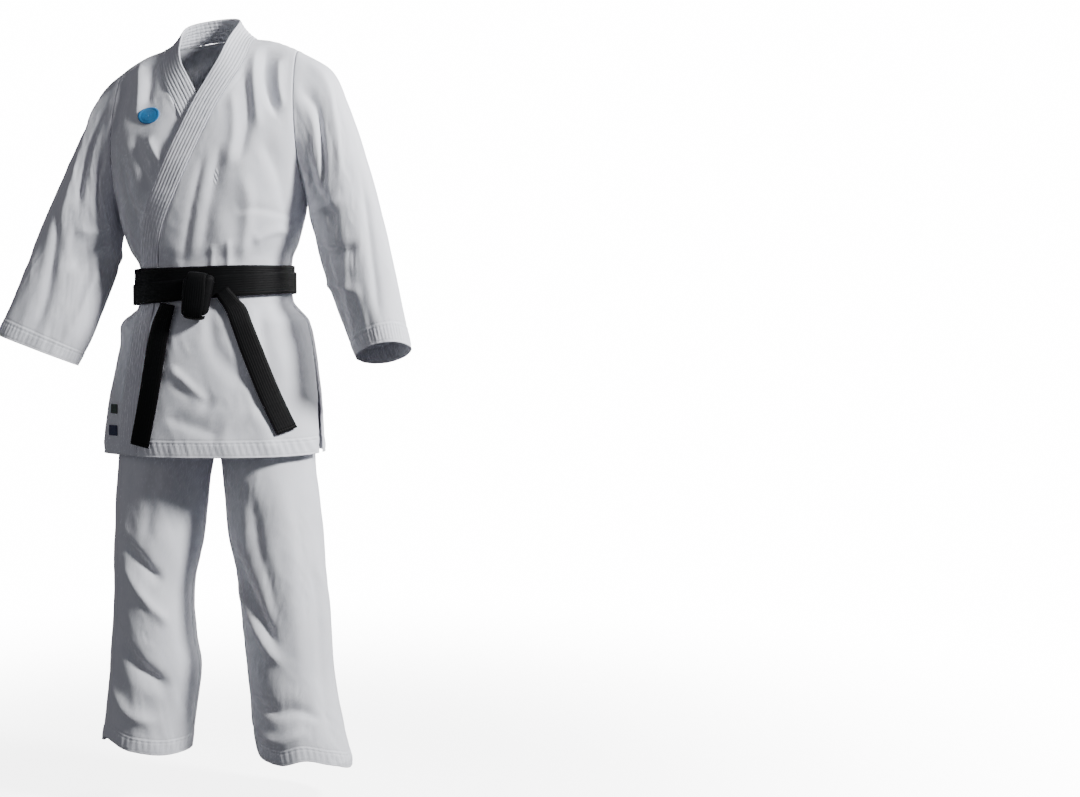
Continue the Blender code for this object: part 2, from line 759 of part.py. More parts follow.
def belt_knot(back_y):
    """The square knot: a soft block, wider than deep, leaning over to one side."""
    bpy.ops.mesh.primitive_cube_add(size=1.0)
    item = bpy.context.object
    item.name = "belt_knot"
    item.data.name = "belt_knot"
    for vert in item.data.vertices:
        x, y, z = vert.co
        share = KNOT_FOOT_SHARE if z < 0 else 1.0
        vert.co = Vector((KNOT_WIDTH * x * share + KNOT_LEAN * KNOT_HEIGHT * z,
                          KNOT_DEPTH * y, KNOT_HEIGHT * z))
    centre = Vector((KNOT_X, back_y - 0.5 * KNOT_DEPTH, KNOT_Z))
    for vert in item.data.vertices:
        vert.co = posed(vert.co + centre)
    bevel = item.modifiers.new("soft_edges", "BEVEL")
    bevel.width = KNOT_ROUND
    bevel.segments = 4
    item.data.materials.append(BLACK)
    item.data.shade_smooth()
    for owner in list(item.users_collection):
        owner.objects.unlink(item)
    PARTS.objects.link(item)
    return item


def belt_tail(name, table):
    rows = []
    for k in range(TAIL_ROWS + 1):
        way = k / TAIL_ROWS
        x, z, half_width, out = read(table, way)
        ahead = read(table, min(1.0, way + 0.02))
        behind = read(table, max(0.0, way - 0.02))
        run = Vector((ahead[0] - behind[0], ahead[1] - behind[1])).normalized()
        row = []
        for share in (-1.0, 0.0, 1.0):
            side_x = x + run.y * half_width * share
            side_z = z - run.x * half_width * share
            row.append(posed(skin_point(side_x, side_z, -1, out, folded=False)))
        rows.append(row)
    return grid_object(name, rows, BLACK, BELT_THICK, inside=Vector((0.0, 0.0, -0.60)))


def label(name, height, low):
    """A small woven label on the right front, beside the side slit."""
    rows = []
    for z in (low, low + height):
        row = []
        for x in LABEL_COLUMNS:
            row.append(posed(skin_point(x, z, -1, tuck(x, z) + LABEL_LIFT)))
        rows.append(row)
    return grid_object(name, rows, NAVY, LABEL_THICK, inside=Vector((0.0, 0.0, low)))


clear_scene()
PARTS = new_collection("karate_uniform")
WHITE = cloth_material("cotton_canvas", CANVAS_WHITE, 0.85)
SHADE = cloth_material("stitched_canvas", CANVAS_SHADE, 0.85)
BLACK = cloth_material("black_cotton_belt", BELT_BLACK, 0.75)
NAVY = cloth_material("woven_label", LABEL_NAVY, 0.6)


back_panel()
front_panel("jacket_front_left", 1, outer_layer, LEFT_FRONT_COLUMNS)
front_panel("jacket_front_right", -1, tuck, RIGHT_FRONT_COLUMNS)
collar_band(tuck, outer_layer)
sleeve("sleeve_left", SLEEVE_LEFT, SLEEVE_FOLDS, 1, CUFF_TILT_LEFT)
sleeve("sleeve_right", SLEEVE_RIGHT, SLEEVE_FOLDS, -1, CUFF_TILT_RIGHT)
leg("trouser_leg_left", LEG_LEFT, HEM_LEFT, LEG_LEFT_FOLDS, 1)
leg("trouser_leg_right", LEG_RIGHT, HEM_RIGHT, LEG_RIGHT_FOLDS, -1)
waistband()
belt_wrap("belt_wrap_inner", INNER_WRAP_OUT, BELT_HEIGHT + WRAP_STAGGER, -WRAP_TILT)
belt_wrap("belt_wrap_outer", OUTER_WRAP_OUT, BELT_HEIGHT - WRAP_STAGGER, WRAP_TILT)
belt_knot(-read(TRUNK, BELT_HEIGHT)[1] - OUTER_WRAP_OUT - SEAM_GAP)
belt_tail("belt_tail_left", TAIL_LEFT)
belt_tail("belt_tail_right", TAIL_RIGHT)
label("label_upper", 0.018, -0.705)
label("label_lower", 0.020, -0.748)
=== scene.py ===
# %% [markdown]
# # A karate uniform, worn, with nobody in it
#
# The real object is three things worn together: a wrapped jacket and wide trousers
# of white cotton canvas, and a black cotton belt in a square knot. They are filled
# out as on a wearer, but hollow, and open at the neck, the cuffs and the hems.
#
# Such cloth could be simulated over a body, or each panel could be drawn as a sheet
# of points on one smooth body form. The second way is used here, because the large
# creases then fall where the real ones are, and neighbouring panels share one skin
# and so lie on each other without cutting through.

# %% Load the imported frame
import math

import bpy
import numpy as np
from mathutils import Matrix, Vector


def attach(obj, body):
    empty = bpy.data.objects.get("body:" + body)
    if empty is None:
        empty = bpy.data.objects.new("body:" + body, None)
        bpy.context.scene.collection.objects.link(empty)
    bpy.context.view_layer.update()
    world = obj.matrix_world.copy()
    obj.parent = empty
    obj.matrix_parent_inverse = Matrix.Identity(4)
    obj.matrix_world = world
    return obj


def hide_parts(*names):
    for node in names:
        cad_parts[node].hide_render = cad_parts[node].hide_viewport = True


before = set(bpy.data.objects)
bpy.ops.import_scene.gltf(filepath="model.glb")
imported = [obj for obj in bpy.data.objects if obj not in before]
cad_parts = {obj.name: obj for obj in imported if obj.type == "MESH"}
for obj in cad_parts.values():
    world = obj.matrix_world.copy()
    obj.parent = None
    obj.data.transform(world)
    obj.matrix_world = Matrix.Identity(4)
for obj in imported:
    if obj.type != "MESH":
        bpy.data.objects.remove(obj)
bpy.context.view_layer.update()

# %% [markdown]
# ## Camera
#
# The camera stands 3.5 m away, a little to the wearer's left and at belt height.
# The uniform is at the left of the frame, so the camera is turned past it instead
# of being shifted, and the perspective is the same as in the photograph.

# %% Camera
FRAME_WIDTH = 1080
FRAME_HEIGHT = 797
FOCAL_PX = 1784.1
AXIS_PX = 216
EYE_LEVEL_PX = 290
SENSOR_MM = 36.0
CAMERA_AZIMUTH = math.radians(17.0)
CAMERA_DISTANCE = 3.5
CAMERA_HEIGHT = -0.473

camera_data = bpy.data.cameras.new("camera")
camera_data.sensor_width = SENSOR_MM
camera_data.lens = FOCAL_PX * SENSOR_MM / FRAME_WIDTH
camera = bpy.data.objects.new("camera", camera_data)
bpy.context.scene.collection.objects.link(camera)
turn_right = math.atan((FRAME_WIDTH / 2 - AXIS_PX) / FOCAL_PX)
tilt_down = math.atan((FRAME_HEIGHT / 2 - EYE_LEVEL_PX) / FOCAL_PX)
camera.location = (CAMERA_DISTANCE * math.sin(CAMERA_AZIMUTH),
                   -CAMERA_DISTANCE * math.cos(CAMERA_AZIMUTH), CAMERA_HEIGHT)
camera.rotation_euler = (math.pi / 2 - tilt_down, 0.0, CAMERA_AZIMUTH - turn_right)
bpy.context.scene.camera = camera
print("lens mm:", round(camera_data.lens, 2))

# %% [markdown]
# ## Shader nodes and colour
#
# Every finish below is made of shader nodes. One function adds a node with its
# settings and links, and one turns an sRGB hex value into the linear colour that
# Blender works in.

# %% Colour and node helpers


def linear(hex_value):
    parts = [int(hex_value[k:k + 2], 16) / 255 for k in (1, 3, 5)]
    return tuple(c / 12.92 if c <= 0.04045 else ((c + 0.055) / 1.055) ** 2.4
                 for c in parts) + (1.0,)


def add_node(tree, kind, settings=None, inputs=None):
    """Adds a node; an input is set to a value, or linked when it is given a socket."""
    node = tree.nodes.new(kind)
    for name, value in (settings or {}).items():
        setattr(node, name, value)
    for name, value in (inputs or {}).items():
        socket = node.inputs[name]
        if isinstance(value, bpy.types.NodeSocket):
            tree.links.new(value, socket)
        else:
            socket.default_value = value
    return node


def new_material(name):
    material = bpy.data.materials.new(name)
    material.use_nodes = True
    return material, material.node_tree, material.node_tree.nodes["Principled BSDF"]


def stripes_scale(pitch):
    """A Wave Texture's scale that gives one stripe in each pitch metres."""
    return math.tau / 20.0 / pitch


# %% [markdown]
# ## White cotton canvas
#
# The jacket and trousers are bleached cotton canvas in plain weave: warp and weft
# pass over and under each other every half millimetre. The weave is far too fine
# to show from 3.5 m, so its threads are drawn 1 mm apart, as a faint grain, and
# thicker slubs run along the warp. Cotton is matt, with a weak sheen where its
# fibres catch light at a low angle. All of it follows the sheet's own UV map,
# which is in metres along the weft and the warp.

# %% Canvas
THREAD_PITCH = 0.0010
COTTON_IOR = 1.47


def canvas(name, light, dark, bump_strength):
    material, tree, shader = new_material(name)
    place = add_node(tree, "ShaderNodeUVMap", {"uv_map": "weave"}).outputs["UV"]
    warp = add_node(tree, "ShaderNodeTexWave", {"bands_direction": "X"},
                    {"Vector": place, "Scale": stripes_scale(THREAD_PITCH),
                     "Distortion": 0.6, "Detail": 1.0, "Detail Scale": 2.0})
    weft = add_node(tree, "ShaderNodeTexWave", {"bands_direction": "Y"},
                    {"Vector": place, "Scale": stripes_scale(THREAD_PITCH),
                     "Distortion": 0.6, "Detail": 1.0, "Detail Scale": 2.0})
    weave = add_node(tree, "ShaderNodeMath", {"operation": "MULTIPLY"},
                     {0: warp.outputs["Fac"], 1: weft.outputs["Fac"]})
    along = add_node(tree, "ShaderNodeMapping", None,
                     {"Vector": place, "Scale": (420.0, 60.0, 1.0)})
    slubs = add_node(tree, "ShaderNodeTexNoise", None,
                     {"Vector": along.outputs["Vector"], "Scale": 1.0, "Detail": 3.0})
    cloudy = add_node(tree, "ShaderNodeTexNoise", None,
                      {"Vector": place, "Scale": 9.0, "Detail": 2.0})
    blend = add_node(tree, "ShaderNodeMath", {"operation": "MULTIPLY_ADD"},
                     {0: slubs.outputs["Fac"], 1: 0.6, 2: cloudy.outputs["Fac"]})
    shade = add_node(tree, "ShaderNodeMapRange", None,
                     {"Value": blend.outputs["Value"], "From Min": 0.45, "From Max": 1.15})
    tint = add_node(tree, "ShaderNodeMix", {"data_type": "RGBA"},
                    {"Factor": shade.outputs["Result"]})
    tint.inputs[6].default_value = linear(dark)
    tint.inputs[7].default_value = linear(light)
    tree.links.new(tint.outputs[2], shader.inputs["Base Color"])
    height = add_node(tree, "ShaderNodeMath", {"operation": "MULTIPLY_ADD"},
                      {0: slubs.outputs["Fac"], 1: 0.8, 2: weave.outputs["Value"]})
    bump = add_node(tree, "ShaderNodeBump", None,
                    {"Height": height.outputs["Value"], "Strength": bump_strength,
                     "Distance": 0.0006})
    tree.links.new(bump.outputs["Normal"], shader.inputs["Normal"])
    shader.inputs["Roughness"].default_value = 0.88
    shader.inputs["IOR"].default_value = COTTON_IOR
    shader.inputs["Specular IOR Level"].default_value = 0.25
    shader.inputs["Sheen Weight"].default_value = 0.12
    shader.inputs["Sheen Roughness"].default_value = 0.6
    return material


CANVAS = canvas("bleached_cotton_canvas", "#f1f2f8", "#e6e8f0", 0.35)
BAND_CANVAS = canvas("quilted_canvas_band", "#eeeff5", "#e1e3ec", 0.45)
print("materials:", CANVAS.name, BAND_CANVAS.name)

# %% [markdown]
# ## Black belt cotton
#
# The belt is a tube of tight black cotton satin over a stiff core, flattened and
# sewn with rows of stitches 4 mm apart. The rows are in the mesh. The satin gives
# a soft grey sheen on the side that faces the light and stays nearly black
# elsewhere.

# %% Belt cotton


def belt_cotton(name):
    material, tree, shader = new_material(name)
    place = add_node(tree, "ShaderNodeUVMap", {"uv_map": "weave"}).outputs["UV"]
    ribs = add_node(tree, "ShaderNodeTexWave", {"bands_direction": "Y"},
                    {"Vector": place, "Scale": stripes_scale(0.0016), "Distortion": 0.8})
    worn = add_node(tree, "ShaderNodeTexNoise", None,
                    {"Vector": place, "Scale": 40.0, "Detail": 4.0})
    tint = add_node(tree, "ShaderNodeMix", {"data_type": "RGBA"},
                    {"Factor": worn.outputs["Fac"]})
    tint.inputs[6].default_value = linear("#050506")
    tint.inputs[7].default_value = linear("#0b0b0d")
    tree.links.new(tint.outputs[2], shader.inputs["Base Color"])
    bump = add_node(tree, "ShaderNodeBump", None,
                    {"Height": ribs.outputs["Fac"], "Strength": 0.35, "Distance": 0.0004})
    tree.links.new(bump.outputs["Normal"], shader.inputs["Normal"])
    shader.inputs["Roughness"].default_value = 0.62
    shader.inputs["IOR"].default_value = COTTON_IOR
    shader.inputs["Specular IOR Level"].default_value = 0.16
    shader.inputs["Sheen Weight"].default_value = 0.03
    shader.inputs["Sheen Roughness"].default_value = 0.45
    shader.inputs["Sheen Tint"].default_value = linear("#8a8c96")
    return material


BELT_COTTON = belt_cotton("black_belt_cotton")

# %% [markdown]
# ## Embroidery and woven labels
#
# The chest carries a small embroidered badge and the hem two woven labels. Here
# they are plain: satin stitch is parallel shiny thread, and a damask label is the
# same thread woven flat, with a border.

# %% Thread finishes


def thread_finish(name, light, dark, pitch, direction):
    material, tree, shader = new_material(name)
    place = add_node(tree, "ShaderNodeUVMap", {"uv_map": "weave"}).outputs["UV"]
    threads = add_node(tree, "ShaderNodeTexWave", {"bands_direction": direction},
                       {"Vector": place, "Scale": stripes_scale(pitch), "Distortion": 1.2,
                        "Detail": 1.0})
    tint = add_node(tree, "ShaderNodeMix", {"data_type": "RGBA"},
                    {"Factor": threads.outputs["Fac"]})
    tint.inputs[6].default_value = linear(dark)
    tint.inputs[7].default_value = linear(light)
    tree.links.new(tint.outputs[2], shader.inputs["Base Color"])
    bump = add_node(tree, "ShaderNodeBump", None,
                    {"Height": threads.outputs["Fac"], "Strength": 0.5, "Distance": 0.0004})
    tree.links.new(bump.outputs["Normal"], shader.inputs["Normal"])
    shader.inputs["Roughness"].default_value = 0.45
    shader.inputs["IOR"].default_value = 1.55
    shader.inputs["Sheen Weight"].default_value = 0.2
    return material


BLUE_SATIN_STITCH = thread_finish("blue_satin_stitch", "#2b8fd0", "#1f74b4", 0.0012, "Y")
NAVY_LABEL = thread_finish("navy_damask_label", "#1c2f5e", "#131f42", 0.0010, "Y")
GREEN_LABEL = thread_finish("green_damask_label", "#2c4a3c", "#1b2f27", 0.0010, "Y")

# %% [markdown]
# ## One skin under everything
#
# The jacket, its band and the belt lie on one form: the trunk, given by a table of
# sections. A smooth curve that never overshoots is drawn through each table, and
# every function works on whole arrays of points, so a sheet of 25 000 points takes
# a moment.

# %% Tables and curves
ROUNDNESS = 2.3
HEM_HEIGHT = -0.785
ARMPIT_HEIGHT = -0.300
NECK_SIDE_X = 0.086
NECK_BACK_HEIGHT = 0.008
SLIT_TOP = -0.60
SLIT_OPEN = 0.006
BAND_WIDTH = 0.045
BAND_PROUD = 0.0012
TUCK = 0.0068
BELT_HEIGHT = -0.460
BELT_WIDTH = 0.040


def ease(value):
    """0 to 1 with a level start and end."""
    t = np.clip(value, 0.0, 1.0)
    return t * t * (3.0 - 2.0 * t)


def mix(a, b, t):
    return a + (b - a) * t


def curve(rows):
    """A table sampled finely along a smooth curve through its rows."""
    rows = np.array(sorted(rows), float)
    keys, values = rows[:, 0], rows[:, 1:]
    steps = np.diff(values, axis=0) / np.diff(keys)[:, None]
    before, after = np.vstack([steps[:1], steps]), np.vstack([steps, steps[-1:]])
    same_way = before * after > 0.0
    total = np.where(same_way, before + after, 1.0)
    slopes = np.where(same_way, 2.0 * before * after / total, 0.0)
    fine = np.linspace(keys[0], keys[-1], 1200)
    i = np.clip(np.searchsorted(keys, fine, side="right") - 1, 0, len(keys) - 2)
    span = (keys[i + 1] - keys[i])[:, None]
    t = (fine - keys[i])[:, None] / span
    points = (values[i] * (1 + 2 * t) * (1 - t) ** 2 + slopes[i] * span * t * (1 - t) ** 2
              + values[i + 1] * t * t * (3 - 2 * t) + slopes[i + 1] * span * t * t * (t - 1))
    return fine, points


def read(table, key):
    """The table's columns at key, each an array like key."""
    keys, values = table
    return [np.interp(key, keys, values[:, c]) for c in range(values.shape[1])]


# Trunk sections: height, half width, front depth, back depth
TRUNK = curve((
    (-0.800, 0.205, 0.146, 0.150), (-0.700, 0.202, 0.141, 0.147),
    (-0.600, 0.193, 0.132, 0.139), (-0.540, 0.180, 0.122, 0.126),
    (-0.500, 0.149, 0.109, 0.107), (-0.480, 0.147, 0.108, 0.105),
    (-0.460, 0.147, 0.108, 0.105), (-0.440, 0.147, 0.108, 0.105),
    (-0.420, 0.149, 0.109, 0.106), (-0.390, 0.162, 0.117, 0.114),
    (-0.340, 0.175, 0.124, 0.121), (-0.300, 0.183, 0.128, 0.126),
    (-0.220, 0.205, 0.130, 0.133), (-0.140, 0.232, 0.124, 0.134),
    (-0.060, 0.250, 0.110, 0.125), (0.050, 0.255, 0.095, 0.110)))

# Shoulder line: distance from the middle, height
SHOULDER = curve((
    (0.000, 0.045), (0.040, 0.031), (0.086, -0.004), (0.120, -0.013),
    (0.150, -0.026), (0.175, -0.040), (0.210, -0.062), (0.260, -0.110)))

# Seam between the left front and the collar band: height, x
LAPEL = curve((
    (-0.790, -0.118), (-0.680, -0.111), (-0.577, -0.099), (-0.500, -0.091),
    (-0.422, -0.0815), (-0.354, -0.067), (-0.314, -0.049), (-0.238, -0.012),
    (-0.185, 0.0135), (-0.133, 0.038), (-0.099, 0.0565), (-0.067, 0.0735),
    (-0.036, 0.0835), (-0.004, 0.0860)))


def posed(points):
    """The worn tilt: the wearer's left shoulder is a little higher, the hem is level."""
    share = np.clip((points[..., 2] + 0.80) / 0.75, 0.0, 1.0)
    points = points.copy()
    points[..., 2] += 0.105 * share * points[..., 0]
    return points


def shoulder_height(x):
    return read(SHOULDER, np.abs(x))[0]


def half_width_at(z):
    return read(TRUNK, z)[0]


def lapel_x(z):
    return read(LAPEL, z)[0]


def skin_y(x, z, side):
    """Depth of the trunk's skin; side is -1 for the front and 1 for the back."""
    half_width, front, back = read(TRUNK, z)
    depth = np.where(side < 0, front, back)
    climb = np.clip((z - ARMPIT_HEIGHT) / (shoulder_height(x) - ARMPIT_HEIGHT), 0.0, 1.0)
    across = np.clip(1.0 - (np.abs(x) / half_width) ** ROUNDNESS, 0.0, 1.0)
    over = 1.0 - climb ** ROUNDNESS
    return side * depth * (across * over) ** (1.0 / ROUNDNESS)


def skin_value(x, y, z):
    half_width, front, back = read(TRUNK, z)
    depth = np.where(y < 0, front, back)
    climb = (z - ARMPIT_HEIGHT) / (shoulder_height(x) - ARMPIT_HEIGHT)
    across = 1.0 - (np.abs(x) / half_width) ** ROUNDNESS
    over = 1.0 - np.maximum(0.0, climb) ** ROUNDNESS
    return (np.abs(y) / depth) ** ROUNDNESS - across * over


def skin_normal(x, y, z):
    step = 0.0005
    slope = np.stack([skin_value(x + step, y, z) - skin_value(x - step, y, z),
                      skin_value(x, y + step, z) - skin_value(x, y - step, z),
                      skin_value(x, y, z + step) - skin_value(x, y, z - step)], -1)
    return slope / np.linalg.norm(slope, axis=-1, keepdims=True)


def skin_points(x, z, side, out):
    """Points of the skin moved out along its normal, before the pose."""
    y = skin_y(x, z, side)
    return np.stack([x, y, z], -1) + skin_normal(x, y, z) * np.asarray(out)[..., None]


print("skin at the chest:", skin_points(np.array([0.0]), np.array([-0.2]), -1, 0.0).round(3))

# %% [markdown]
# ## Creases
#
# Canvas is stiff, so it breaks into a few long soft troughs and ridges and some
# short sharp ones. Each is given as a short line on the sheet's own flat map, in
# metres, with a height (negative for a trough), a half width at its start and end,
# and how sharp its crest is. A lean makes one flank steeper, as where cloth folds
# over. Between them, two sizes of quiet unevenness keep the sheet from looking
# moulded.

# %% Crease tools


def smooth_line(points, steps=10):
    """A rounded line through a crease's points."""
    p = np.array(points, float)
    if len(p) == 2:
        return p[0] + (p[1] - p[0]) * np.linspace(0, 1, steps)[:, None]
    p = np.vstack([2 * p[0] - p[1], p, 2 * p[-1] - p[-2]])
    t = np.linspace(0, 1, steps, endpoint=False)[:, None]
    parts = []
    for a, b, c, d in zip(p, p[1:], p[2:], p[3:]):
        parts.append(0.5 * (2 * b + (c - a) * t + (2 * a - 5 * b + 4 * c - d) * t ** 2
                            + (3 * b - a - 3 * c + d) * t ** 3))
    return np.vstack(parts + [p[-2:-1]])


def crease(u, v, line, height, start_width, end_width, sharp=0.0, lean=0.0):
    """Height of one crease over a flat map."""
    path = smooth_line(line)
    lengths = np.linalg.norm(np.diff(path, axis=0), axis=1)
    so_far = np.concatenate([[0], np.cumsum(lengths)])
    nearest = np.full(u.shape, 1e9)
    along = np.zeros(u.shape)
    offset = np.zeros(u.shape)
    for (au, av), (bu, bv), length, start in zip(path, path[1:], lengths, so_far):
        du, dv = (bu - au) / length, (bv - av) / length
        t = np.clip((u - au) * du + (v - av) * dv, 0.0, length)
        off_u, off_v = u - au - du * t, v - av - dv * t
        away = np.hypot(off_u, off_v)
        closer = away < nearest
        nearest = np.where(closer, away, nearest)
        along = np.where(closer, (start + t) / so_far[-1], along)
        offset = np.where(closer, np.sign(du * off_v - dv * off_u), offset)
    width = mix(start_width, end_width, along) * (1.0 + lean * offset)
    profile = np.exp(-(nearest / width) ** (2.0 - 0.9 * sharp))
    fade = ease(4.0 * along + 0.15) * ease(4.0 * (1.0 - along) + 0.15)
    return height * profile * fade


def lattice_noise(u, v, cell, seed):
    """Smooth random heights, about -1 to 1, that change over one cell."""
    table = np.random.default_rng(seed).uniform(-1, 1, (64, 64))
    gu, gv = u / cell, v / cell
    iu, iv = np.floor(gu).astype(int), np.floor(gv).astype(int)
    fu, fv = ease(gu - iu), ease(gv - iv)
    low = mix(table[iu % 64, iv % 64], table[(iu + 1) % 64, iv % 64], fu)
    high = mix(table[iu % 64, (iv + 1) % 64], table[(iu + 1) % 64, (iv + 1) % 64], fu)
    return mix(low, high, fv)


def unevenness(u, v, seed, turn=0.35, wide=0.0016, fine=0.0007):
    """Broad slack and small wrinkles, both longer down the cloth than across it."""
    a = u * math.cos(turn) + v * math.sin(turn)
    b = v * math.cos(turn) - u * math.sin(turn)
    broad = (lattice_noise(a, b * 0.45, 0.050, seed)
             + 0.5 * lattice_noise(a, b * 0.6, 0.026, seed + 1))
    small = 1.0 - 2.0 * np.abs(lattice_noise(a * 0.8 + 0.004 * broad, b * 0.5, 0.015, seed + 2))
    return wide * broad + fine * small * (0.5 + 0.5 * lattice_noise(u, v, 0.09, seed + 3))


def relief(u, v, creases, seed, **slack):
    total = unevenness(u, v, seed, **slack)
    for row in creases:
        total = total + crease(u, v, *row)
    return total


def stitch_line(distance, pitch_place, depth=0.0007, width=0.0011, pitch=0.0070):
    """A sewn groove, a little deeper at each stitch."""
    pull = 1.0 + 0.35 * np.cos(math.tau * pitch_place / pitch)
    return -depth * pull * np.exp(-(distance / width) ** 2)


# %% [markdown]
# ## From points to a sheet
#
# A sheet is a grid of points with a UV map in metres, thickened inwards to a real
# wall, so a hem or a cuff shows an edge. Its normals come from the grid itself,
# and are turned to face away from a core line.

# %% Sheet tools
CLOTH_WALL = 0.0018
PIECES = {}


def grid_normals(points, core, closed):
    if closed:
        wrapped = np.concatenate([points[:, -1:], points, points[:, :1]], 1)
        across = (wrapped[:, 2:] - wrapped[:, :-2]) * 0.5
    else:
        across = np.gradient(points, axis=1)
    normal = np.cross(across, np.gradient(points, axis=0))
    normal /= np.maximum(np.linalg.norm(normal, axis=-1, keepdims=True), 1e-12)
    facing = np.sum(normal * (points - core))
    return normal if facing > 0 else -normal


def metres_across(points, closed):
    """The flat map of a grid: how far along its rows and columns each point lies."""
    ring = np.concatenate([points, points[:, :1]], 1) if closed else points
    across = np.linalg.norm(np.diff(ring, axis=1), axis=2).mean(0)
    down = np.linalg.norm(np.diff(points, axis=0), axis=2).mean(1)
    return np.concatenate([[0], np.cumsum(across)]), np.concatenate([[0], np.cumsum(down)])


def make_sheet(name, points, core, material, wall=CLOTH_WALL, closed=False):
    rows, width = points.shape[:2]
    facing = grid_normals(points, core, closed)
    i, j = np.meshgrid(np.arange(rows - 1), np.arange(width if closed else width - 1),
                       indexing="ij")
    i, j = i.ravel(), j.ravel()
    k = (j + 1) % width
    quads = np.stack([i * width + j, i * width + k, (i + 1) * width + k,
                      (i + 1) * width + j], 1)
    u, v = metres_across(points, closed)
    uvs = np.stack([np.stack([u[j], v[i]], 1), np.stack([u[j + 1], v[i]], 1),
                    np.stack([u[j + 1], v[i + 1]], 1), np.stack([u[j], v[i + 1]], 1)], 1)
    flat = points.reshape(-1, 3)
    a, b, d = (flat[quads[:, c]] for c in (0, 1, 3))
    if np.sum(np.cross(b - a, d - a) * facing[i, j]) < 0:
        quads, uvs = quads[:, ::-1], uvs[:, ::-1]
    mesh = bpy.data.meshes.new(name)
    mesh.from_pydata(flat.tolist(), [], quads.tolist())
    layer = mesh.uv_layers.new(name="weave")
    layer.data.foreach_set("uv", uvs.reshape(-1).astype(np.float32))
    mesh.materials.append(material)
    mesh.shade_smooth()
    piece = bpy.data.objects.new(name, mesh)
    bpy.context.scene.collection.objects.link(piece)
    shell = piece.modifiers.new("wall", "SOLIDIFY")
    shell.thickness = wall
    shell.offset = -1.0
    area = float(np.linalg.norm(np.cross(b - a, d - a), axis=1).sum())
    print(name, "cells", len(quads), "area m2", round(area, 4))
    PIECES[name] = (piece, area)
    return piece


# %% [markdown]
# ## Jacket body
#
# A karate jacket is one long back and two fronts. The left front wraps across to
# the wearer's right hip, and the right one lies under it. Each panel runs from its
# side seam to its collar band, in rows that are level below the armpit and climb
# to the shoulder line above it.

# %% Panel grids
ARMHOLE_TOP_X = 0.170
ARMHOLE_LOW_X = 0.183
PANEL_COLUMNS = 118
LOW_STEPS = 135
HIGH_STEPS = 88
HEM_TURN_UP = 0.032


def settle(rule, start):
    value = start
    for _ in range(14):
        value = rule(value)
    return value


def height_at(x, climb):
    return ARMPIT_HEIGHT + climb * (shoulder_height(x) - ARMPIT_HEIGHT)


def armhole_x(z):
    share = (z - ARMPIT_HEIGHT) / (shoulder_height(ARMHOLE_TOP_X) - ARMPIT_HEIGHT)
    return mix(ARMHOLE_LOW_X, ARMHOLE_TOP_X, np.clip(share, 0, 1))


def free_edge_x(z):
    slope = (lapel_x(z + 0.01) - lapel_x(z - 0.01)) / 0.02
    return lapel_x(z) - BAND_WIDTH * np.hypot(1.0, slope)


def side_flare(x, z):
    most = np.where(x < 0.0, 0.015, 0.004)
    bulge = np.where(x < 0.0, 0.009, 0.0)
    near_side = ease(6.0 * np.abs(x) / half_width_at(z) - 5.0)
    under_belt = np.exp(-((z + 0.522) / 0.024) ** 2)
    return (most * ease((SLIT_TOP - z) / 0.16) + bulge * under_belt) * near_side


def tuck(x, z):
    """The inner front sinks as it passes under the outer band."""
    return side_flare(np.minimum(x, 0.0), z) - TUCK * ease((x - free_edge_x(z) + 0.055) / 0.050)


def outer_layer(x, z):
    return np.zeros_like(x + z)


def panel_levels():
    """Rows from the hem up: closer together in the hem, where the stitching is."""
    turn_up = np.linspace(HEM_HEIGHT, HEM_HEIGHT + HEM_TURN_UP + 0.004, 22)
    low = np.linspace(turn_up[-1], ARMPIT_HEIGHT, LOW_STEPS - 21)[1:-1]
    high = np.sin(0.5 * np.pi * np.linspace(0, 1, HIGH_STEPS))
    return [("height", z) for z in (*turn_up, *low)] + [("climb", c) for c in high]


def front_grid(columns):
    shares = np.linspace(0, 1, columns)
    xs, zs = [], []
    for kind, level in panel_levels():
        if kind == "height":
            opened = SLIT_OPEN * ease((SLIT_TOP - level) / 0.15)
            half = half_width_at(level)
            start = 0.5 * math.pi - (0.0001 + opened) / half
            x = half * np.sin(mix(start, math.asin(lapel_x(level) / half), shares))
            z = np.full(columns, level)
        else:
            edge = settle(lambda x: armhole_x(height_at(x, level)), 0.175) - 0.0002
            inner = settle(lambda x: lapel_x(height_at(x, level)), 0.05)
            start = math.asin(min(1.0, edge / half_width_at(height_at(edge, level))))
            end = math.asin(inner / half_width_at(height_at(inner, level)))
            turn = mix(start, end, shares)
            x = settle(lambda x: half_width_at(height_at(x, level)) * np.sin(turn), 0 * turn)
            z = height_at(x, level)
        xs.append(x)
        zs.append(z)
    return np.array(xs), np.array(zs)


def neck_height(x):
    fall = NECK_BACK_HEIGHT - shoulder_height(NECK_SIDE_X)
    return NECK_BACK_HEIGHT - fall * (np.abs(x) / NECK_SIDE_X) ** 2


def back_grid(columns):
    sides = np.linspace(-1, 1, columns)
    xs, zs = [], []
    for kind, level in panel_levels():
        if kind == "height":
            opened = SLIT_OPEN * ease((SLIT_TOP - level) / 0.15)
            half = half_width_at(level)
            x = half * np.sin(sides * (0.5 * math.pi - (0.0001 + opened) / half))
            z = np.full(columns, level)
        else:
            edge = settle(lambda x: armhole_x(height_at(x, level)), 0.175) - 0.0002
            reach = math.asin(min(1.0, edge / half_width_at(height_at(edge, level))))
            turn = sides * reach
            x = settle(lambda x: half_width_at(height_at(x, level)) * np.sin(turn), 0 * turn)
            top = np.where(np.abs(x) < NECK_SIDE_X, neck_height(x) - 0.0008, shoulder_height(x))
            z = ARMPIT_HEIGHT + level * (top - ARMPIT_HEIGHT)
        xs.append(x)
        zs.append(z)
    return np.array(xs), np.array(zs)


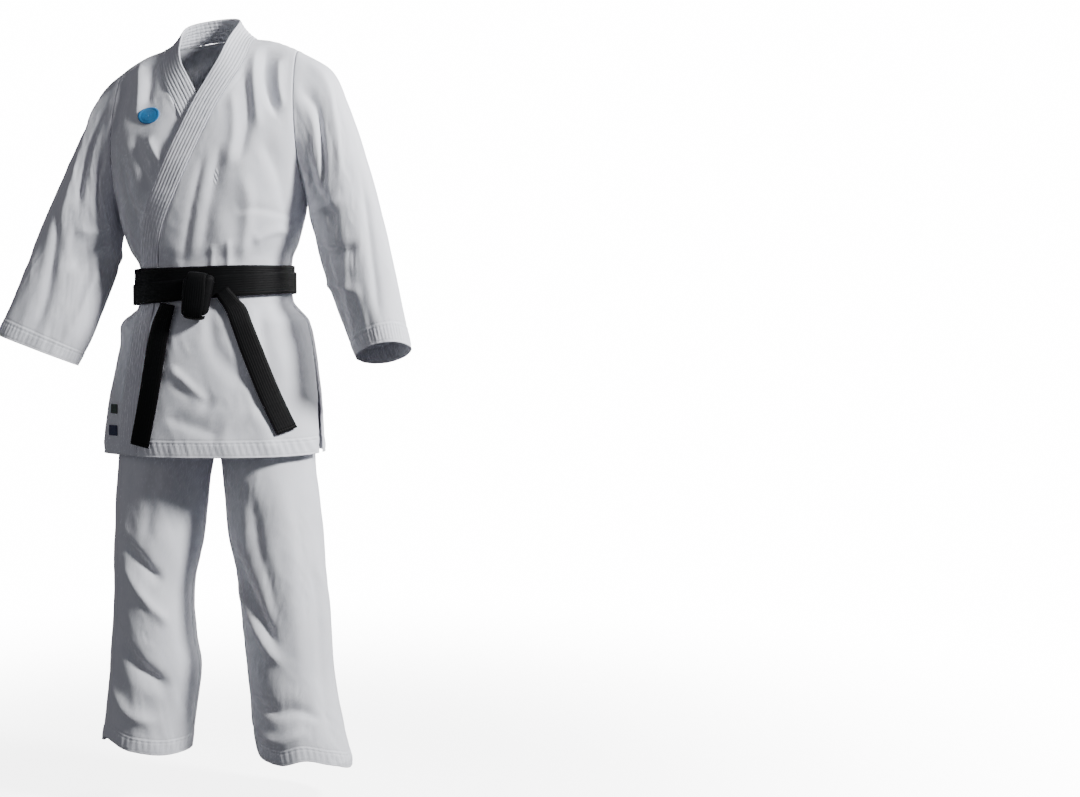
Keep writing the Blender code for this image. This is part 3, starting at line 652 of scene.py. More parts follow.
def hem_finish(distance, along):
    """The jacket hem: turned up 32 mm, sewn twice, slightly puckered between."""
    step = 0.0006 * ease((HEM_TURN_UP - distance) / 0.002)
    pucker = 0.0007 * np.cos(math.tau * along / 0.011) * ease((HEM_TURN_UP - distance) / 0.006)
    sewn = stitch_line(distance - HEM_TURN_UP, along) + stitch_line(distance - 0.026, along)
    return step + sewn + pucker * ease(distance / 0.012) + stitch_line(distance - 0.004, along)


def panel_points(x, z, side, layer, creases, seed, seam_fade, closed_sides):
    out = layer(x, z)
    height = relief(x, z, creases, seed)
    height = height * seam_fade
    height = height + hem_finish(z - HEM_HEIGHT, x + 0.3 * z)
    edge = sum(stitch_line(distance, z, 0.0008, 0.0016) for distance in closed_sides)
    return posed(skin_points(x, z, side, out + height + edge))


# %% [markdown]
# ### Where the jacket creases
#
# The left chest has a deep hollow between chest and sleeve and a fan of troughs
# from the shoulder. Long slack troughs run down beside the band to the belt, and
# short pleats stand where the belt gathers the cloth. The skirt below has soft
# swells. The back gets the same kinds: pulls from the shoulder blades to the waist.

# %% Jacket creases
# Each: line of (x, z), height, start half width, end half width, sharpness, lean
LEFT_FRONT_CREASES = (
    (((0.118, -0.020), (0.122, -0.090), (0.152, -0.168)), -0.013, 0.020, 0.008, 0.4, 0.3),
    (((0.142, -0.050), (0.150, -0.110), (0.160, -0.150)), 0.006, 0.010, 0.007, 0.5, 0.0),
    (((0.098, -0.030), (0.106, -0.110), (0.120, -0.190)), 0.006, 0.010, 0.010, 0.3, 0.0),
    (((0.078, -0.060), (0.098, -0.150), (0.085, -0.246)), -0.006, 0.012, 0.012, 0.3, -0.2),
    (((0.064, -0.105), (0.075, -0.180), (0.062, -0.260)), 0.004, 0.008, 0.012, 0.2, 0.0),
    (((0.052, -0.200), (0.031, -0.308), (0.005, -0.420)), -0.006, 0.012, 0.016, 0.2, 0.2),
    (((0.020, -0.220), (-0.005, -0.320), (-0.030, -0.430)), -0.004, 0.008, 0.010, 0.3, 0.0),
    (((0.072, -0.335), (0.111, -0.330), (0.172, -0.347)), -0.003, 0.008, 0.009, 0.3, 0.3),
    (((0.100, -0.390), (0.140, -0.372), (0.168, -0.375)), 0.005, 0.008, 0.010, 0.4, 0.0),
    (((0.125, -0.200), (0.150, -0.270), (0.162, -0.350)), -0.005, 0.014, 0.012, 0.2, 0.2),
    (((0.090, -0.260), (0.098, -0.330), (0.080, -0.430)), 0.005, 0.014, 0.010, 0.1, 0.0),
    (((0.060, -0.380), (0.056, -0.440)), 0.004, 0.006, 0.006, 0.4, 0.0),
    (((0.030, -0.390), (0.026, -0.440)), 0.003, 0.006, 0.005, 0.4, 0.0),
    (((-0.0525, -0.612), (-0.010, -0.650), (0.024, -0.684)), 0.006, 0.012, 0.012, 0.3, -0.4),
    (((-0.050, -0.640), (0.000, -0.672), (0.040, -0.690)), -0.004, 0.012, 0.014, 0.1, 0.0),
    (((-0.060, -0.705), (0.000, -0.728), (0.059, -0.741)), -0.005, 0.014, 0.016, 0.1, 0.2),
    (((0.020, -0.505), (0.040, -0.590), (0.110, -0.660)), -0.005, 0.012, 0.020, 0.1, 0.0),
    (((0.110, -0.500), (0.130, -0.600), (0.150, -0.720)), -0.005, 0.010, 0.020, 0.1, 0.0),
    (((0.060, -0.500), (0.085, -0.570), (0.120, -0.640)), 0.004, 0.010, 0.016, 0.1, 0.0),
    (((-0.060, -0.500), (-0.062, -0.560), (-0.075, -0.650)), -0.003, 0.008, 0.014, 0.1, 0.0),
    (((0.100, -0.690), (0.130, -0.740), (0.135, -0.785)), 0.004, 0.014, 0.016, 0.0, 0.0),
)
RIGHT_FRONT_CREASES = (
    (((-0.130, -0.025), (-0.118, -0.090), (-0.116, -0.150)), 0.006, 0.010, 0.009, 0.3, 0.2),
    (((-0.150, -0.040), (-0.155, -0.110), (-0.178, -0.180)), -0.009, 0.014, 0.010, 0.3, -0.2),
    (((-0.100, -0.030), (-0.098, -0.080), (-0.098, -0.120)), -0.004, 0.008, 0.010, 0.2, 0.0),
    (((-0.092, -0.180), (-0.078, -0.212), (-0.063, -0.241)), 0.005, 0.008, 0.007, 0.4, 0.2),
    (((-0.120, -0.170), (-0.108, -0.230), (-0.090, -0.290)), -0.005, 0.012, 0.010, 0.3, 0.0),
    (((-0.150, -0.210), (-0.138, -0.290), (-0.118, -0.360)), -0.006, 0.012, 0.010, 0.3, 0.2),
    (((-0.160, -0.300), (-0.146, -0.350), (-0.138, -0.420)), 0.005, 0.010, 0.008, 0.3, 0.0),
    (((-0.128, -0.340), (-0.125, -0.380), (-0.126, -0.430)), -0.004, 0.008, 0.006, 0.3, 0.0),
    (((-0.185, -0.540), (-0.182, -0.620), (-0.190, -0.740)), -0.004, 0.010, 0.014, 0.1, 0.0),
)
BACK_CREASES = (
    (((0.120, -0.060), (0.110, -0.180), (0.060, -0.330)), -0.008, 0.018, 0.020, 0.2, 0.2),
    (((-0.125, -0.070), (-0.100, -0.190), (-0.055, -0.350)), -0.008, 0.020, 0.018, 0.2, -0.2),
    (((0.090, -0.090), (0.060, -0.220), (0.020, -0.360)), 0.005, 0.014, 0.016, 0.1, 0.0),
    (((-0.080, -0.080), (-0.050, -0.200), (-0.015, -0.340)), 0.005, 0.014, 0.018, 0.1, 0.0),
    (((0.000, -0.060), (0.006, -0.180), (-0.004, -0.300)), -0.004, 0.016, 0.020, 0.1, 0.0),
    (((0.150, -0.200), (0.140, -0.300), (0.110, -0.420)), -0.006, 0.014, 0.010, 0.3, 0.0),
    (((-0.150, -0.190), (-0.145, -0.300), (-0.100, -0.425)), -0.006, 0.014, 0.010, 0.3, 0.0),
    (((0.050, -0.370), (0.046, -0.440)), 0.005, 0.008, 0.006, 0.4, 0.0),
    (((0.000, -0.350), (-0.006, -0.440)), -0.005, 0.010, 0.006, 0.3, 0.0),
    (((-0.050, -0.365), (-0.048, -0.440)), 0.005, 0.008, 0.006, 0.4, 0.0),
    (((-0.095, -0.360), (-0.090, -0.440)), -0.004, 0.008, 0.006, 0.4, 0.0),
    (((0.090, -0.370), (0.092, -0.440)), -0.004, 0.008, 0.006, 0.4, 0.0),
    (((0.060, -0.500), (0.070, -0.620), (0.090, -0.785)), -0.008, 0.014, 0.028, 0.1, 0.0),
    (((-0.060, -0.500), (-0.075, -0.620), (-0.085, -0.785)), -0.008, 0.014, 0.028, 0.1, 0.0),
    (((0.000, -0.500), (-0.006, -0.600), (0.004, -0.740)), 0.005, 0.012, 0.026, 0.1, 0.0),
    (((0.120, -0.500), (0.140, -0.600), (0.160, -0.720)), -0.004, 0.010, 0.020, 0.1, 0.0),
    (((-0.120, -0.500), (-0.145, -0.600), (-0.165, -0.720)), -0.004, 0.010, 0.020, 0.1, 0.0),
)

# %% Make the jacket body


def core_of(points):
    """Each row's own height on the body's axis."""
    core = np.zeros_like(points)
    core[..., 2] = points[..., 2]
    return core


def fade_from(*distances, over=0.012):
    total = 1.0
    for distance in distances:
        total = total * ease(distance / over)
    return total


def front_piece(name, mirror, layer, creases, seed, columns):
    x, z = front_grid(columns)
    spans = np.hypot(np.diff(x, axis=1), np.diff(skin_y(x, z, -1), axis=1))
    from_side = np.concatenate([np.zeros((len(x), 1)), np.cumsum(spans, 1)], 1)
    to_band = from_side[:, -1:] - from_side
    below_top = (shoulder_height(x) - z)
    fade = fade_from(from_side + 0.5 * (z < SLIT_TOP), to_band + 0.002, below_top + 0.001)
    points = panel_points(mirror * x, z, -1, layer, creases, seed, fade,
                          (from_side, to_band, below_top))
    return make_sheet(name, points, core_of(points), CANVAS)


def back_piece(columns):
    x, z = back_grid(columns)
    spans = np.hypot(np.diff(x, axis=1), np.diff(skin_y(x, z, 1), axis=1))
    from_left = np.concatenate([np.zeros((len(x), 1)), np.cumsum(spans, 1)], 1)
    from_side = np.minimum(from_left, from_left[:, -1:] - from_left)
    below_top = np.where(np.abs(x) < NECK_SIDE_X, neck_height(x), shoulder_height(x)) - z
    fade = fade_from(from_side + 0.5 * (z < SLIT_TOP), below_top + 0.001)
    points = panel_points(x, z, 1, side_flare, BACK_CREASES, 31, fade,
                          (from_side, below_top))
    return make_sheet("jacket_back_cloth", points, core_of(points), CANVAS)


front_piece("jacket_front_left_cloth", 1, outer_layer, LEFT_FRONT_CREASES, 11, PANEL_COLUMNS)
front_piece("jacket_front_right_cloth", -1, tuck, RIGHT_FRONT_CREASES, 21, 96)
back_piece(132)

# %% [markdown]
# ## Collar band
#
# The band is a strip of canvas folded over a filling and sewn with seven rows of
# stitches, so it is thick, stiff and ribbed. It runs from one hem round the neck to
# the other, stands up behind the neck, and lies flat down the fronts. Its middle
# line follows the same few rows as the solid, and a smooth curve is drawn through
# them.

# %% Collar band
STAND = curve(((0.0, 12.0), (0.5, 16.0), (1.0, 22.0), (1.3, 16.0), (1.6, 5.0),
               (1.8, 0.0), (3.0, 0.0)))
HIGH_ROWS = 9
LOW_ROWS = 15
NECK_ROWS = 8
BAND_STITCH_ROWS = 7


def band_seam(way):
    if way <= 1.0:
        x = NECK_SIDE_X * math.sin(0.5 * math.pi * way)
        return x, float(neck_height(x)), 1
    if way <= 2.0:
        climb = math.cos(0.5 * math.pi * (way - 1.0))
        x = float(settle(lambda x: lapel_x(height_at(x, climb)), 0.05))
        return x, float(height_at(x, climb)), -1
    z = mix(ARMPIT_HEIGHT, HEM_HEIGHT, way - 2.0)
    return float(lapel_x(z)), z, -1


def band_row(way, mirror, layer):
    """Three points across the band: its seam, its middle and its free edge."""
    x, z, side = band_seam(way)
    seam = np.array([x, float(skin_y(x, z, side)), z])
    ax, az, a_side = band_seam(min(way + 0.004, 3.0))
    bx, bz, b_side = band_seam(max(way - 0.004, 0.0))
    ahead = np.array([ax, float(skin_y(ax, az, a_side)), az])
    behind = np.array([bx, float(skin_y(bx, bz, b_side)), bz])
    if way < 0.004:
        behind = ahead * (-1.0, 1.0, 1.0)
    run = (ahead - behind) / np.linalg.norm(ahead - behind)
    normal = skin_normal(*seam)
    level = np.cross(run, normal)
    level /= np.linalg.norm(level)
    stand = math.radians(float(read(STAND, way)[0]))
    lying = float(ease((way - 1.30) / 0.45))
    row = []
    for share in (0.0, 0.5, 1.0):
        flat = seam + level * BAND_WIDTH * share
        up = (seam + BAND_WIDTH * share * (level * math.cos(stand) + normal * math.sin(stand))
              + normal * BAND_PROUD)
        x, z = np.array(mirror * flat[0]), np.array(flat[2])
        laid = skin_points(x, z, -1, layer(x, z) + BAND_PROUD) * (mirror, 1, 1)
        row.append(mix(up, laid, lying) * (mirror, 1, 1))
    return posed(np.array(row))


def spline_rows(rows, steps):
    """Rows between the given ones, on a smooth curve through them."""
    p = np.concatenate([[2 * rows[0] - rows[1]], rows, [2 * rows[-1] - rows[-2]]])
    parts = []
    for a, b, c, d in zip(p, p[1:], p[2:], p[3:]):
        for t in np.arange(steps) / steps:
            parts.append(0.5 * (2 * b + (c - a) * t + (2 * a - 5 * b + 4 * c - d) * t ** 2
                                + (3 * b - a - 3 * c + d) * t ** 3))
    return np.array(parts + [rows[-1]])


def band_points():
    turns = [k / HIGH_ROWS for k in range(HIGH_ROWS + 1)]
    ways = ([k / NECK_ROWS for k in range(NECK_ROWS)] + [2.0 - t for t in reversed(turns)]
            + [2.0 + k / LOW_ROWS for k in range(1, LOW_ROWS + 1)])
    left = [band_row(way, 1, outer_layer) for way in ways]
    right = [band_row(way, -1, tuck) for way in ways[1:]]
    rows = np.array(right[::-1] + left)
    middle, reach = len(right), NECK_ROWS + 4
    for _ in range(6):
        before = rows.copy()
        for i in range(middle - reach, middle + reach + 1):
            fade = float(ease((reach - abs(i - middle)) / 4.0))
            around = (before[i - 1, 1:] + before[i + 1, 1:]) * 0.5
            rows[i, 1:] = mix(before[i, 1:], around, 0.6 * fade)
    return spline_rows(rows, 8)


def band_piece():
    rows = band_points()
    shares = np.linspace(0, 1, 50)
    a, b, c = rows[:, 0:1], rows[:, 1:2], rows[:, 2:3]
    t = shares[None, :, None]
    points = (a * (1 - t) * (1 - 2 * t) + 4 * b * t * (1 - t) + c * t * (2 * t - 1))
    core = core_of(points)
    normal = grid_normals(points, core, False)
    down = np.linalg.norm(np.diff(rows[:, 1], axis=0), axis=1)
    along = np.concatenate([[0], np.cumsum(down)])[:, None]
    across = shares[None, :] * BAND_WIDTH
    height = np.zeros(points.shape[:2])
    for row in range(BAND_STITCH_ROWS):
        place = BAND_WIDTH * (row + 0.6) / (BAND_STITCH_ROWS + 0.2)
        height = height + stitch_line(across - place, along + 0.002 * row, 0.0010, 0.0012, 0.006)
    height += 0.0006 * lattice_noise(along, across * 0.5, 0.030, 41)
    height += 0.0003 * np.cos(math.tau * along / 0.010 + 40 * across)
    height -= 0.0016 * np.exp(-((BAND_WIDTH - across) / 0.0012) ** 2)
    height -= 0.0008 * np.exp(-(across / 0.0015) ** 2)
    return make_sheet("collar_band_cloth", points + normal * height[..., None], core,
                      BAND_CANVAS, wall=0.0040)


band_piece()

# %% [markdown]
# ## Sleeves
#
# Each sleeve is a wide straight tube that starts in the armhole and is pressed
# flatter towards its cuff, where 28 mm of cloth is turned in and sewn. Its creases
# are drawn on the unrolled tube: how far round from the top line, in degrees, and
# how far down, from 0 to 1. The wearer's left one shows its front.

# %% Sleeve forms
SLEEVE_METRES = (0.0018, 0.55)
# way along, top x, top z, under x, under z, middle y, half depth, turn
SLEEVE_LEFT = curve((
    (0.00, 0.170, -0.037, 0.183, -0.300, 0.000, 0.075, 0.0),
    (0.15, 0.231, -0.080, 0.187, -0.322, -0.002, 0.078, 0.0),
    (0.30, 0.264, -0.143, 0.191, -0.350, -0.006, 0.076, 6.0),
    (0.50, 0.304, -0.250, 0.203, -0.392, -0.020, 0.070, 14.0),
    (0.70, 0.344, -0.375, 0.226, -0.462, -0.042, 0.062, 24.0),
    (0.85, 0.372, -0.480, 0.254, -0.530, -0.062, 0.055, 32.0),
    (1.00, 0.399, -0.592, 0.294, -0.608, -0.083, 0.050, 38.0)))
SLEEVE_RIGHT = curve((
    (0.00, 0.170, -0.037, 0.183, -0.300, 0.000, 0.075, 0.0),
    (0.15, 0.215, -0.072, 0.186, -0.325, -0.001, 0.078, 0.0),
    (0.30, 0.241, -0.130, 0.186, -0.356, -0.006, 0.074, 3.0),
    (0.50, 0.283, -0.228, 0.187, -0.405, -0.022, 0.064, 7.0),
    (0.70, 0.331, -0.350, 0.199, -0.468, -0.042, 0.052, 11.0),
    (0.85, 0.360, -0.446, 0.219, -0.535, -0.062, 0.043, 14.0),
    (1.00, 0.397, -0.546, 0.250, -0.609, -0.083, 0.034, 15.0)))


def unit(vectors):
    return vectors / np.linalg.norm(vectors, axis=-1, keepdims=True)


def armhole_y(turn):
    top = shoulder_height(ARMHOLE_TOP_X)
    z = mix(ARMPIT_HEIGHT, top, 0.5 + 0.5 * np.cos(turn))
    return skin_y(armhole_x(z), z, np.where(np.sin(turn) >= 0.0, -1, 1))


def sleeve_base(table, way, turn, cuff_tilt):
    """Points of the smooth tube on the wearer's left, and its middle line."""
    top_x, top_z, under_x, under_z, middle_y, depth, twist = (
        c[..., None] for c in read(table, way))
    centre = np.concatenate([0.5 * (top_x + under_x), middle_y, 0.5 * (top_z + under_z)], -1)
    major = np.concatenate([0.5 * (top_x - under_x), 0 * top_x, 0.5 * (top_z - under_z)], -1)
    length = np.linalg.norm(major, axis=-1, keepdims=True)
    lead = np.array([0.0, -1.0, 0.0])
    spin = np.radians(twist)
    long_axis = unit(major) * np.cos(spin) + lead * np.sin(spin)
    short_axis = lead * np.cos(spin) - unit(major) * np.sin(spin)
    c, s = np.cos(turn)[..., None], np.sin(turn)[..., None]
    ring = centre + long_axis * length * c + short_axis * depth * s
    share = ease(way / 0.28)[..., None]
    start = centre + major * c
    start[..., 1] = middle_y[..., 0] + armhole_y(turn)
    points = mix(start, ring, share)
    tilt = cuff_tilt * ease((way - 0.55) / 0.45)
    points[..., 2] -= tilt * (points[..., 1] - middle_y[..., 0])
    return points, centre


# %% Sleeve creases
# Each: line of (degrees round, way), height, start half width, end half width, sharpness, lean
SLEEVE_BACK_CREASES = (
    (((215, 0.10), (235, 0.35), (260, 0.55)), -0.008, 0.016, 0.014, 0.3, 0.0),
    (((250, 0.40), (280, 0.60), (300, 0.80)), -0.007, 0.014, 0.016, 0.2, 0.0),
    (((200, 0.45), (220, 0.65), (230, 0.90)), 0.006, 0.012, 0.014, 0.2, 0.0),
)
SLEEVE_LEFT_CREASES = (
    (((62, 0.03), (70, 0.20), (95, 0.42)), -0.009, 0.014, 0.012, 0.4, 0.2),
    (((30, 0.05), (40, 0.25), (60, 0.50)), 0.005, 0.016, 0.014, 0.1, 0.0),
    (((120, 0.10), (110, 0.35), (80, 0.60)), -0.008, 0.014, 0.014, 0.3, 0.2),
    (((150, 0.30), (110, 0.45), (60, 0.55)), 0.006, 0.010, 0.012, 0.4, 0.0),
    (((140, 0.55), (100, 0.66), (50, 0.72)), -0.007, 0.012, 0.012, 0.3, -0.3),
    (((160, 0.72), (110, 0.78), (60, 0.86)), 0.005, 0.010, 0.012, 0.4, 0.2),
    (((120, 0.60), (115, 0.80), (120, 0.97)), -0.006, 0.012, 0.016, 0.2, 0.0),
    (((20, 0.55), (30, 0.75), (40, 0.95)), -0.005, 0.012, 0.018, 0.1, 0.0),
) + SLEEVE_BACK_CREASES + (
    (((300, 0.10), (290, 0.30), (270, 0.45)), 0.005, 0.014, 0.014, 0.1, 0.0),
)
SLEEVE_RIGHT_CREASES = (
    (((60, 0.04), (68, 0.25), (75, 0.50)), -0.008, 0.014, 0.012, 0.3, 0.0),
    (((100, 0.06), (105, 0.25), (118, 0.40)), -0.007, 0.012, 0.010, 0.3, 0.2),
    (((35, 0.10), (48, 0.35), (60, 0.65)), 0.005, 0.014, 0.012, 0.1, 0.0),
    (((145, 0.30), (120, 0.45), (85, 0.58)), 0.006, 0.010, 0.012, 0.4, 0.0),
    (((150, 0.42), (120, 0.56), (90, 0.72)), -0.007, 0.010, 0.014, 0.3, 0.2),
    (((50, 0.55), (70, 0.75), (80, 0.97)), -0.006, 0.012, 0.016, 0.2, 0.0),
    (((130, 0.62), (125, 0.80), (118, 0.97)), 0.006, 0.012, 0.016, 0.1, 0.0),
) + SLEEVE_BACK_CREASES


def tube_relief(degrees, way, creases, scale, seed):
    """Relief of an unrolled tube, whose two edges meet."""
    wide, long = scale
    mapped = [([(a * wide, w * long) for a, w in line], *rest) for line, *rest in creases]
    u, v = degrees * wide, way * long
    around = 360.0 * wide
    total = np.zeros_like(u + v)
    for row in mapped:
        for shift in (-around, 0.0, around):
            total = total + crease(u + shift, v, *row)
    ring = around / math.tau
    x, y = ring * np.cos(u / ring), ring * np.sin(u / ring)
    return total + unevenness(x * 1.6 + 0.3 * v, v + y * 1.6, seed, turn=0.2)


def cuff_finish(distance, along, turned):
    step = 0.0006 * ease((turned - distance) / 0.002)
    rows = stitch_line(distance - turned, along) + stitch_line(distance - turned + 0.006, along)
    pucker = 0.0006 * np.cos(math.tau * along / 0.012) * ease((turned - distance) / 0.006)
    return step + rows + stitch_line(distance - 0.003, along) + pucker * ease(distance / 0.01)


def sleeve_piece(name, table, creases, mirror, seed, cuff_tilt):
    ways = np.concatenate([np.linspace(0, 0.935, 122), np.linspace(0.935, 1.0, 24)[1:]])
    turns = np.linspace(0, math.tau, 180, endpoint=False)
    way, turn = np.meshgrid(ways, turns, indexing="ij")
    points, centre = sleeve_base(table, way, turn, cuff_tilt)
    normal = grid_normals(points, centre, True)
    height = tube_relief(np.degrees(turn), way, creases, SLEEVE_METRES, seed)
    height = height * ease(way / 0.03)
    along = turn * 0.10
    height = height + stitch_line(way * SLEEVE_METRES[1], along, 0.0010, 0.0020)
    height = height + cuff_finish((1.0 - way) * SLEEVE_METRES[1], along, 0.028)
    points = points + normal * height[..., None]
    flip = np.array([mirror, 1.0, 1.0])
    return make_sheet(name, posed(points * flip), posed(centre * flip), CANVAS, closed=True)


sleeve_piece("sleeve_left_cloth", SLEEVE_LEFT, SLEEVE_LEFT_CREASES, 1, 51, 0.36)
sleeve_piece("sleeve_right_cloth", SLEEVE_RIGHT, SLEEVE_RIGHT_CREASES, -1, 61, 0.14)

# %% [markdown]
# ## Trousers
#
# Each leg is a wide tube with one seam inside the leg. Above the crotch it opens
# to the centre seam, where the two legs meet. The cloth stacks into Z-shaped folds
# over the shins, which are the largest creases of the uniform, and the hems are
# turned up 30 mm.

# %% Leg forms
LEG_METRES = (0.0016, 0.92)
CROTCH_HEIGHT = -0.745
WAIST_HALF_WIDTH = 0.131
WAIST_FRONT = 0.088
WAIST_BACK = 0.1022
# height, middle x, half width, front depth, back depth
LEG_TOP = (
    (-0.460, 0.000, WAIST_HALF_WIDTH, WAIST_FRONT, WAIST_BACK),
    (-0.540, 0.010, 0.139, 0.094, 0.104), (-0.620, 0.034, 0.138, 0.098, 0.118),
    (-0.690, 0.068, 0.117, 0.100, 0.124), (-0.745, 0.093, 0.095, 0.100, 0.122),
    (-0.820, 0.104, 0.0885, 0.100, 0.114))
LEG_LEFT = curve(LEG_TOP + (
    (-0.940, 0.115, 0.090, 0.098, 0.106), (-1.060, 0.132, 0.084, 0.098, 0.098),
    (-1.200, 0.141, 0.083, 0.092, 0.094), (-1.290, 0.154, 0.086, 0.090, 0.092),
    (-1.380, 0.169, 0.090, 0.090, 0.092)))
LEG_RIGHT = curve(LEG_TOP + (
    (-0.940, 0.115, 0.086, 0.098, 0.106), (-1.060, 0.128, 0.075, 0.098, 0.098),
    (-1.145, 0.131, 0.080, 0.094, 0.096), (-1.205, 0.128, 0.088, 0.090, 0.092),
    (-1.290, 0.138, 0.088, 0.088, 0.090), (-1.380, 0.149, 0.088, 0.088, 0.090)))
# Hems: degrees from the outer side (90 is the front), height
HEM_LEFT = curve(((-180, -1.330), (-90, -1.375), (0, -1.396), (40, -1.380), (75, -1.366),
                  (105, -1.376), (140, -1.370), (180, -1.330)))
HEM_RIGHT = curve(((-180, -1.368), (-90, -1.360), (0, -1.357), (40, -1.338), (85, -1.356),
                   (140, -1.368), (180, -1.368)))

# %% Leg creases
# Each: line of (degrees from the outer side, drop), height, half widths, sharpness, lean
LEG_BACK_CREASES = (
    (((250, 0.45), (275, 0.62), (300, 0.80)), -0.009, 0.018, 0.014, 0.2, 0.0),
    (((300, 0.70), (260, 0.84), (220, 0.90)), 0.007, 0.014, 0.012, 0.3, 0.0),
)
LEG_LEFT_CREASES = (
    (((150, 0.55), (120, 0.66), (85, 0.76)), -0.013, 0.018, 0.012, 0.4, 0.3),
    (((150, 0.62), (115, 0.72), (80, 0.80)), 0.008, 0.014, 0.010, 0.5, 0.0),
    (((150, 0.86), (100, 0.89), (40, 0.90)), -0.009, 0.014, 0.014, 0.4, 0.3),
    (((160, 0.92), (110, 0.95), (60, 0.94)), 0.006, 0.012, 0.012, 0.3, 0.0),
    (((100, 0.42), (92, 0.60), (80, 0.74)), -0.006, 0.014, 0.016, 0.1, 0.0),
    (((60, 0.40), (58, 0.60), (62, 0.85)), 0.005, 0.018, 0.020, 0.0, 0.0),
    (((30, 0.55), (26, 0.75), (34, 0.95)), -0.005, 0.014, 0.020, 0.1, 0.0),
) + LEG_BACK_CREASES + (
    (((220, 0.70), (250, 0.78), (290, 0.88)), -0.007, 0.012, 0.012, 0.3, 0.0),
)
LEG_RIGHT_CREASES = (
    (((50, 0.54), (85, 0.58), (125, 0.63)), -0.011, 0.014, 0.012, 0.4, 0.3),
    (((60, 0.60), (95, 0.66), (135, 0.72)), 0.008, 0.012, 0.012, 0.5, 0.0),
    (((35, 0.72), (80, 0.80), (130, 0.86)), -0.013, 0.016, 0.016, 0.3, 0.2),
    (((30, 0.86), (75, 0.92), (120, 0.93)), 0.007, 0.012, 0.014, 0.3, 0.0),
    (((100, 0.36), (96, 0.46), (92, 0.56)), -0.005, 0.012, 0.014, 0.1, 0.0),
    (((60, 0.36), (58, 0.50), (64, 0.62)), 0.004, 0.016, 0.016, 0.0, 0.0),
) + LEG_BACK_CREASES


def leg_base(table, hem, drop, share):
    foot = read(hem, 180.0 * share)[0]
    z = mix(BELT_HEIGHT, foot, drop)
    middle, half_width, front, back = read(table, z)
    limit = np.where(middle < half_width, np.arccos(np.clip(-middle / half_width, -1, 1)), math.pi)
    turn = share * limit
    depth = np.where(turn > 0.0, front, back)
    x = np.maximum(middle + half_width * np.cos(turn), 0.0001)
    y = -depth * np.sin(turn)
    return np.stack([x, y, z], -1), np.stack([middle, 0 * z, z], -1), turn


def leg_piece(name, table, hem, creases, mirror, seed):
    drops = np.concatenate([np.linspace(0, 0.30, 34), np.linspace(0.30, 0.955, 108)[1:],
                            np.linspace(0.955, 1.0, 22)[1:]])
    shares = np.linspace(-1, 1, 172)
    drop, share = np.meshgrid(drops, shares, indexing="ij")
    points, centre, turn = leg_base(table, hem, drop, share)
    normal = grid_normals(points, centre, False)
    degrees = np.degrees(turn) % 360.0
    height = tube_relief(degrees, drop, creases, LEG_METRES, seed)
    height = height * ease((CROTCH_HEIGHT - 0.02 - points[..., 2]) / 0.08)
    edge = (1.0 - np.abs(share)) * 0.30
    height = height * ease(edge / 0.02) + stitch_line(edge, points[..., 2], 0.0009, 0.0018)
    along = np.radians(degrees) * 0.093
    height = height + cuff_finish((1.0 - drop) * LEG_METRES[1], along, 0.030)
    points = points + normal * height[..., None]
    points[..., 0] = np.maximum(points[..., 0], 0.0001)
    flip = np.array([mirror, 1.0, 1.0])
    return make_sheet(name, posed(points * flip), posed(centre * flip), CANVAS)


leg_piece("trouser_leg_left_cloth", LEG_LEFT, HEM_LEFT, LEG_LEFT_CREASES, 1, 71)
leg_piece("trouser_leg_right_cloth", LEG_RIGHT, HEM_RIGHT, LEG_RIGHT_CREASES, -1, 81)

# %% [markdown]
# ### Waistband
#
# The trousers hang from an elastic waistband under the jacket. It is seen only
# from inside, so it is a plain ribbed ring, gathered by its elastic.

# %% Waistband


def waistband_piece():
    turns = np.linspace(0, math.tau, 220, endpoint=False)
    rises = np.linspace(0.0005, 0.040, 16)
    rise, turn = np.meshgrid(rises, turns, indexing="ij")
    depth = np.where(np.cos(turn) > 0.0, WAIST_FRONT, WAIST_BACK)
    gather = 0.0008 * np.cos(55 * turn) - 0.0008
    x = (WAIST_HALF_WIDTH + gather) * np.sin(turn)
    y = -(depth + gather) * np.cos(turn)
    points = posed(np.stack([x, y, BELT_HEIGHT + rise], -1))
    return make_sheet("trouser_waistband_cloth", points, core_of(points), CANVAS,
                      wall=0.003, closed=True)


waistband_piece()

# %% [markdown]
# ## Belt
#
# The belt goes twice round, 40 mm wide and nearly 3 mm thick, with its rows of
# stitching pressed in along it. A grooved ribbon is the same each time, only its
# path changes: round the waist, down the skirt as a tail, and through the knot.

# %% Belt tools
BELT_STITCH_ROWS = 9
BELT_COLUMNS = 37
BELT_WALL = 0.0026


def belt_relief(across, along):
    """Stitched rows along a ribbon whose width runs from 0 to 1."""
    place = across * BELT_WIDTH
    height = np.zeros_like(place + along)
    for row in range(BELT_STITCH_ROWS):
        centre = BELT_WIDTH * (row + 0.5) / BELT_STITCH_ROWS
        height = height + stitch_line(place - centre, along, 0.0005, 0.0007, 0.004)
    edge = np.minimum(place, BELT_WIDTH - place)
    return height - 0.0009 * np.exp(-(edge / 0.0010) ** 2)


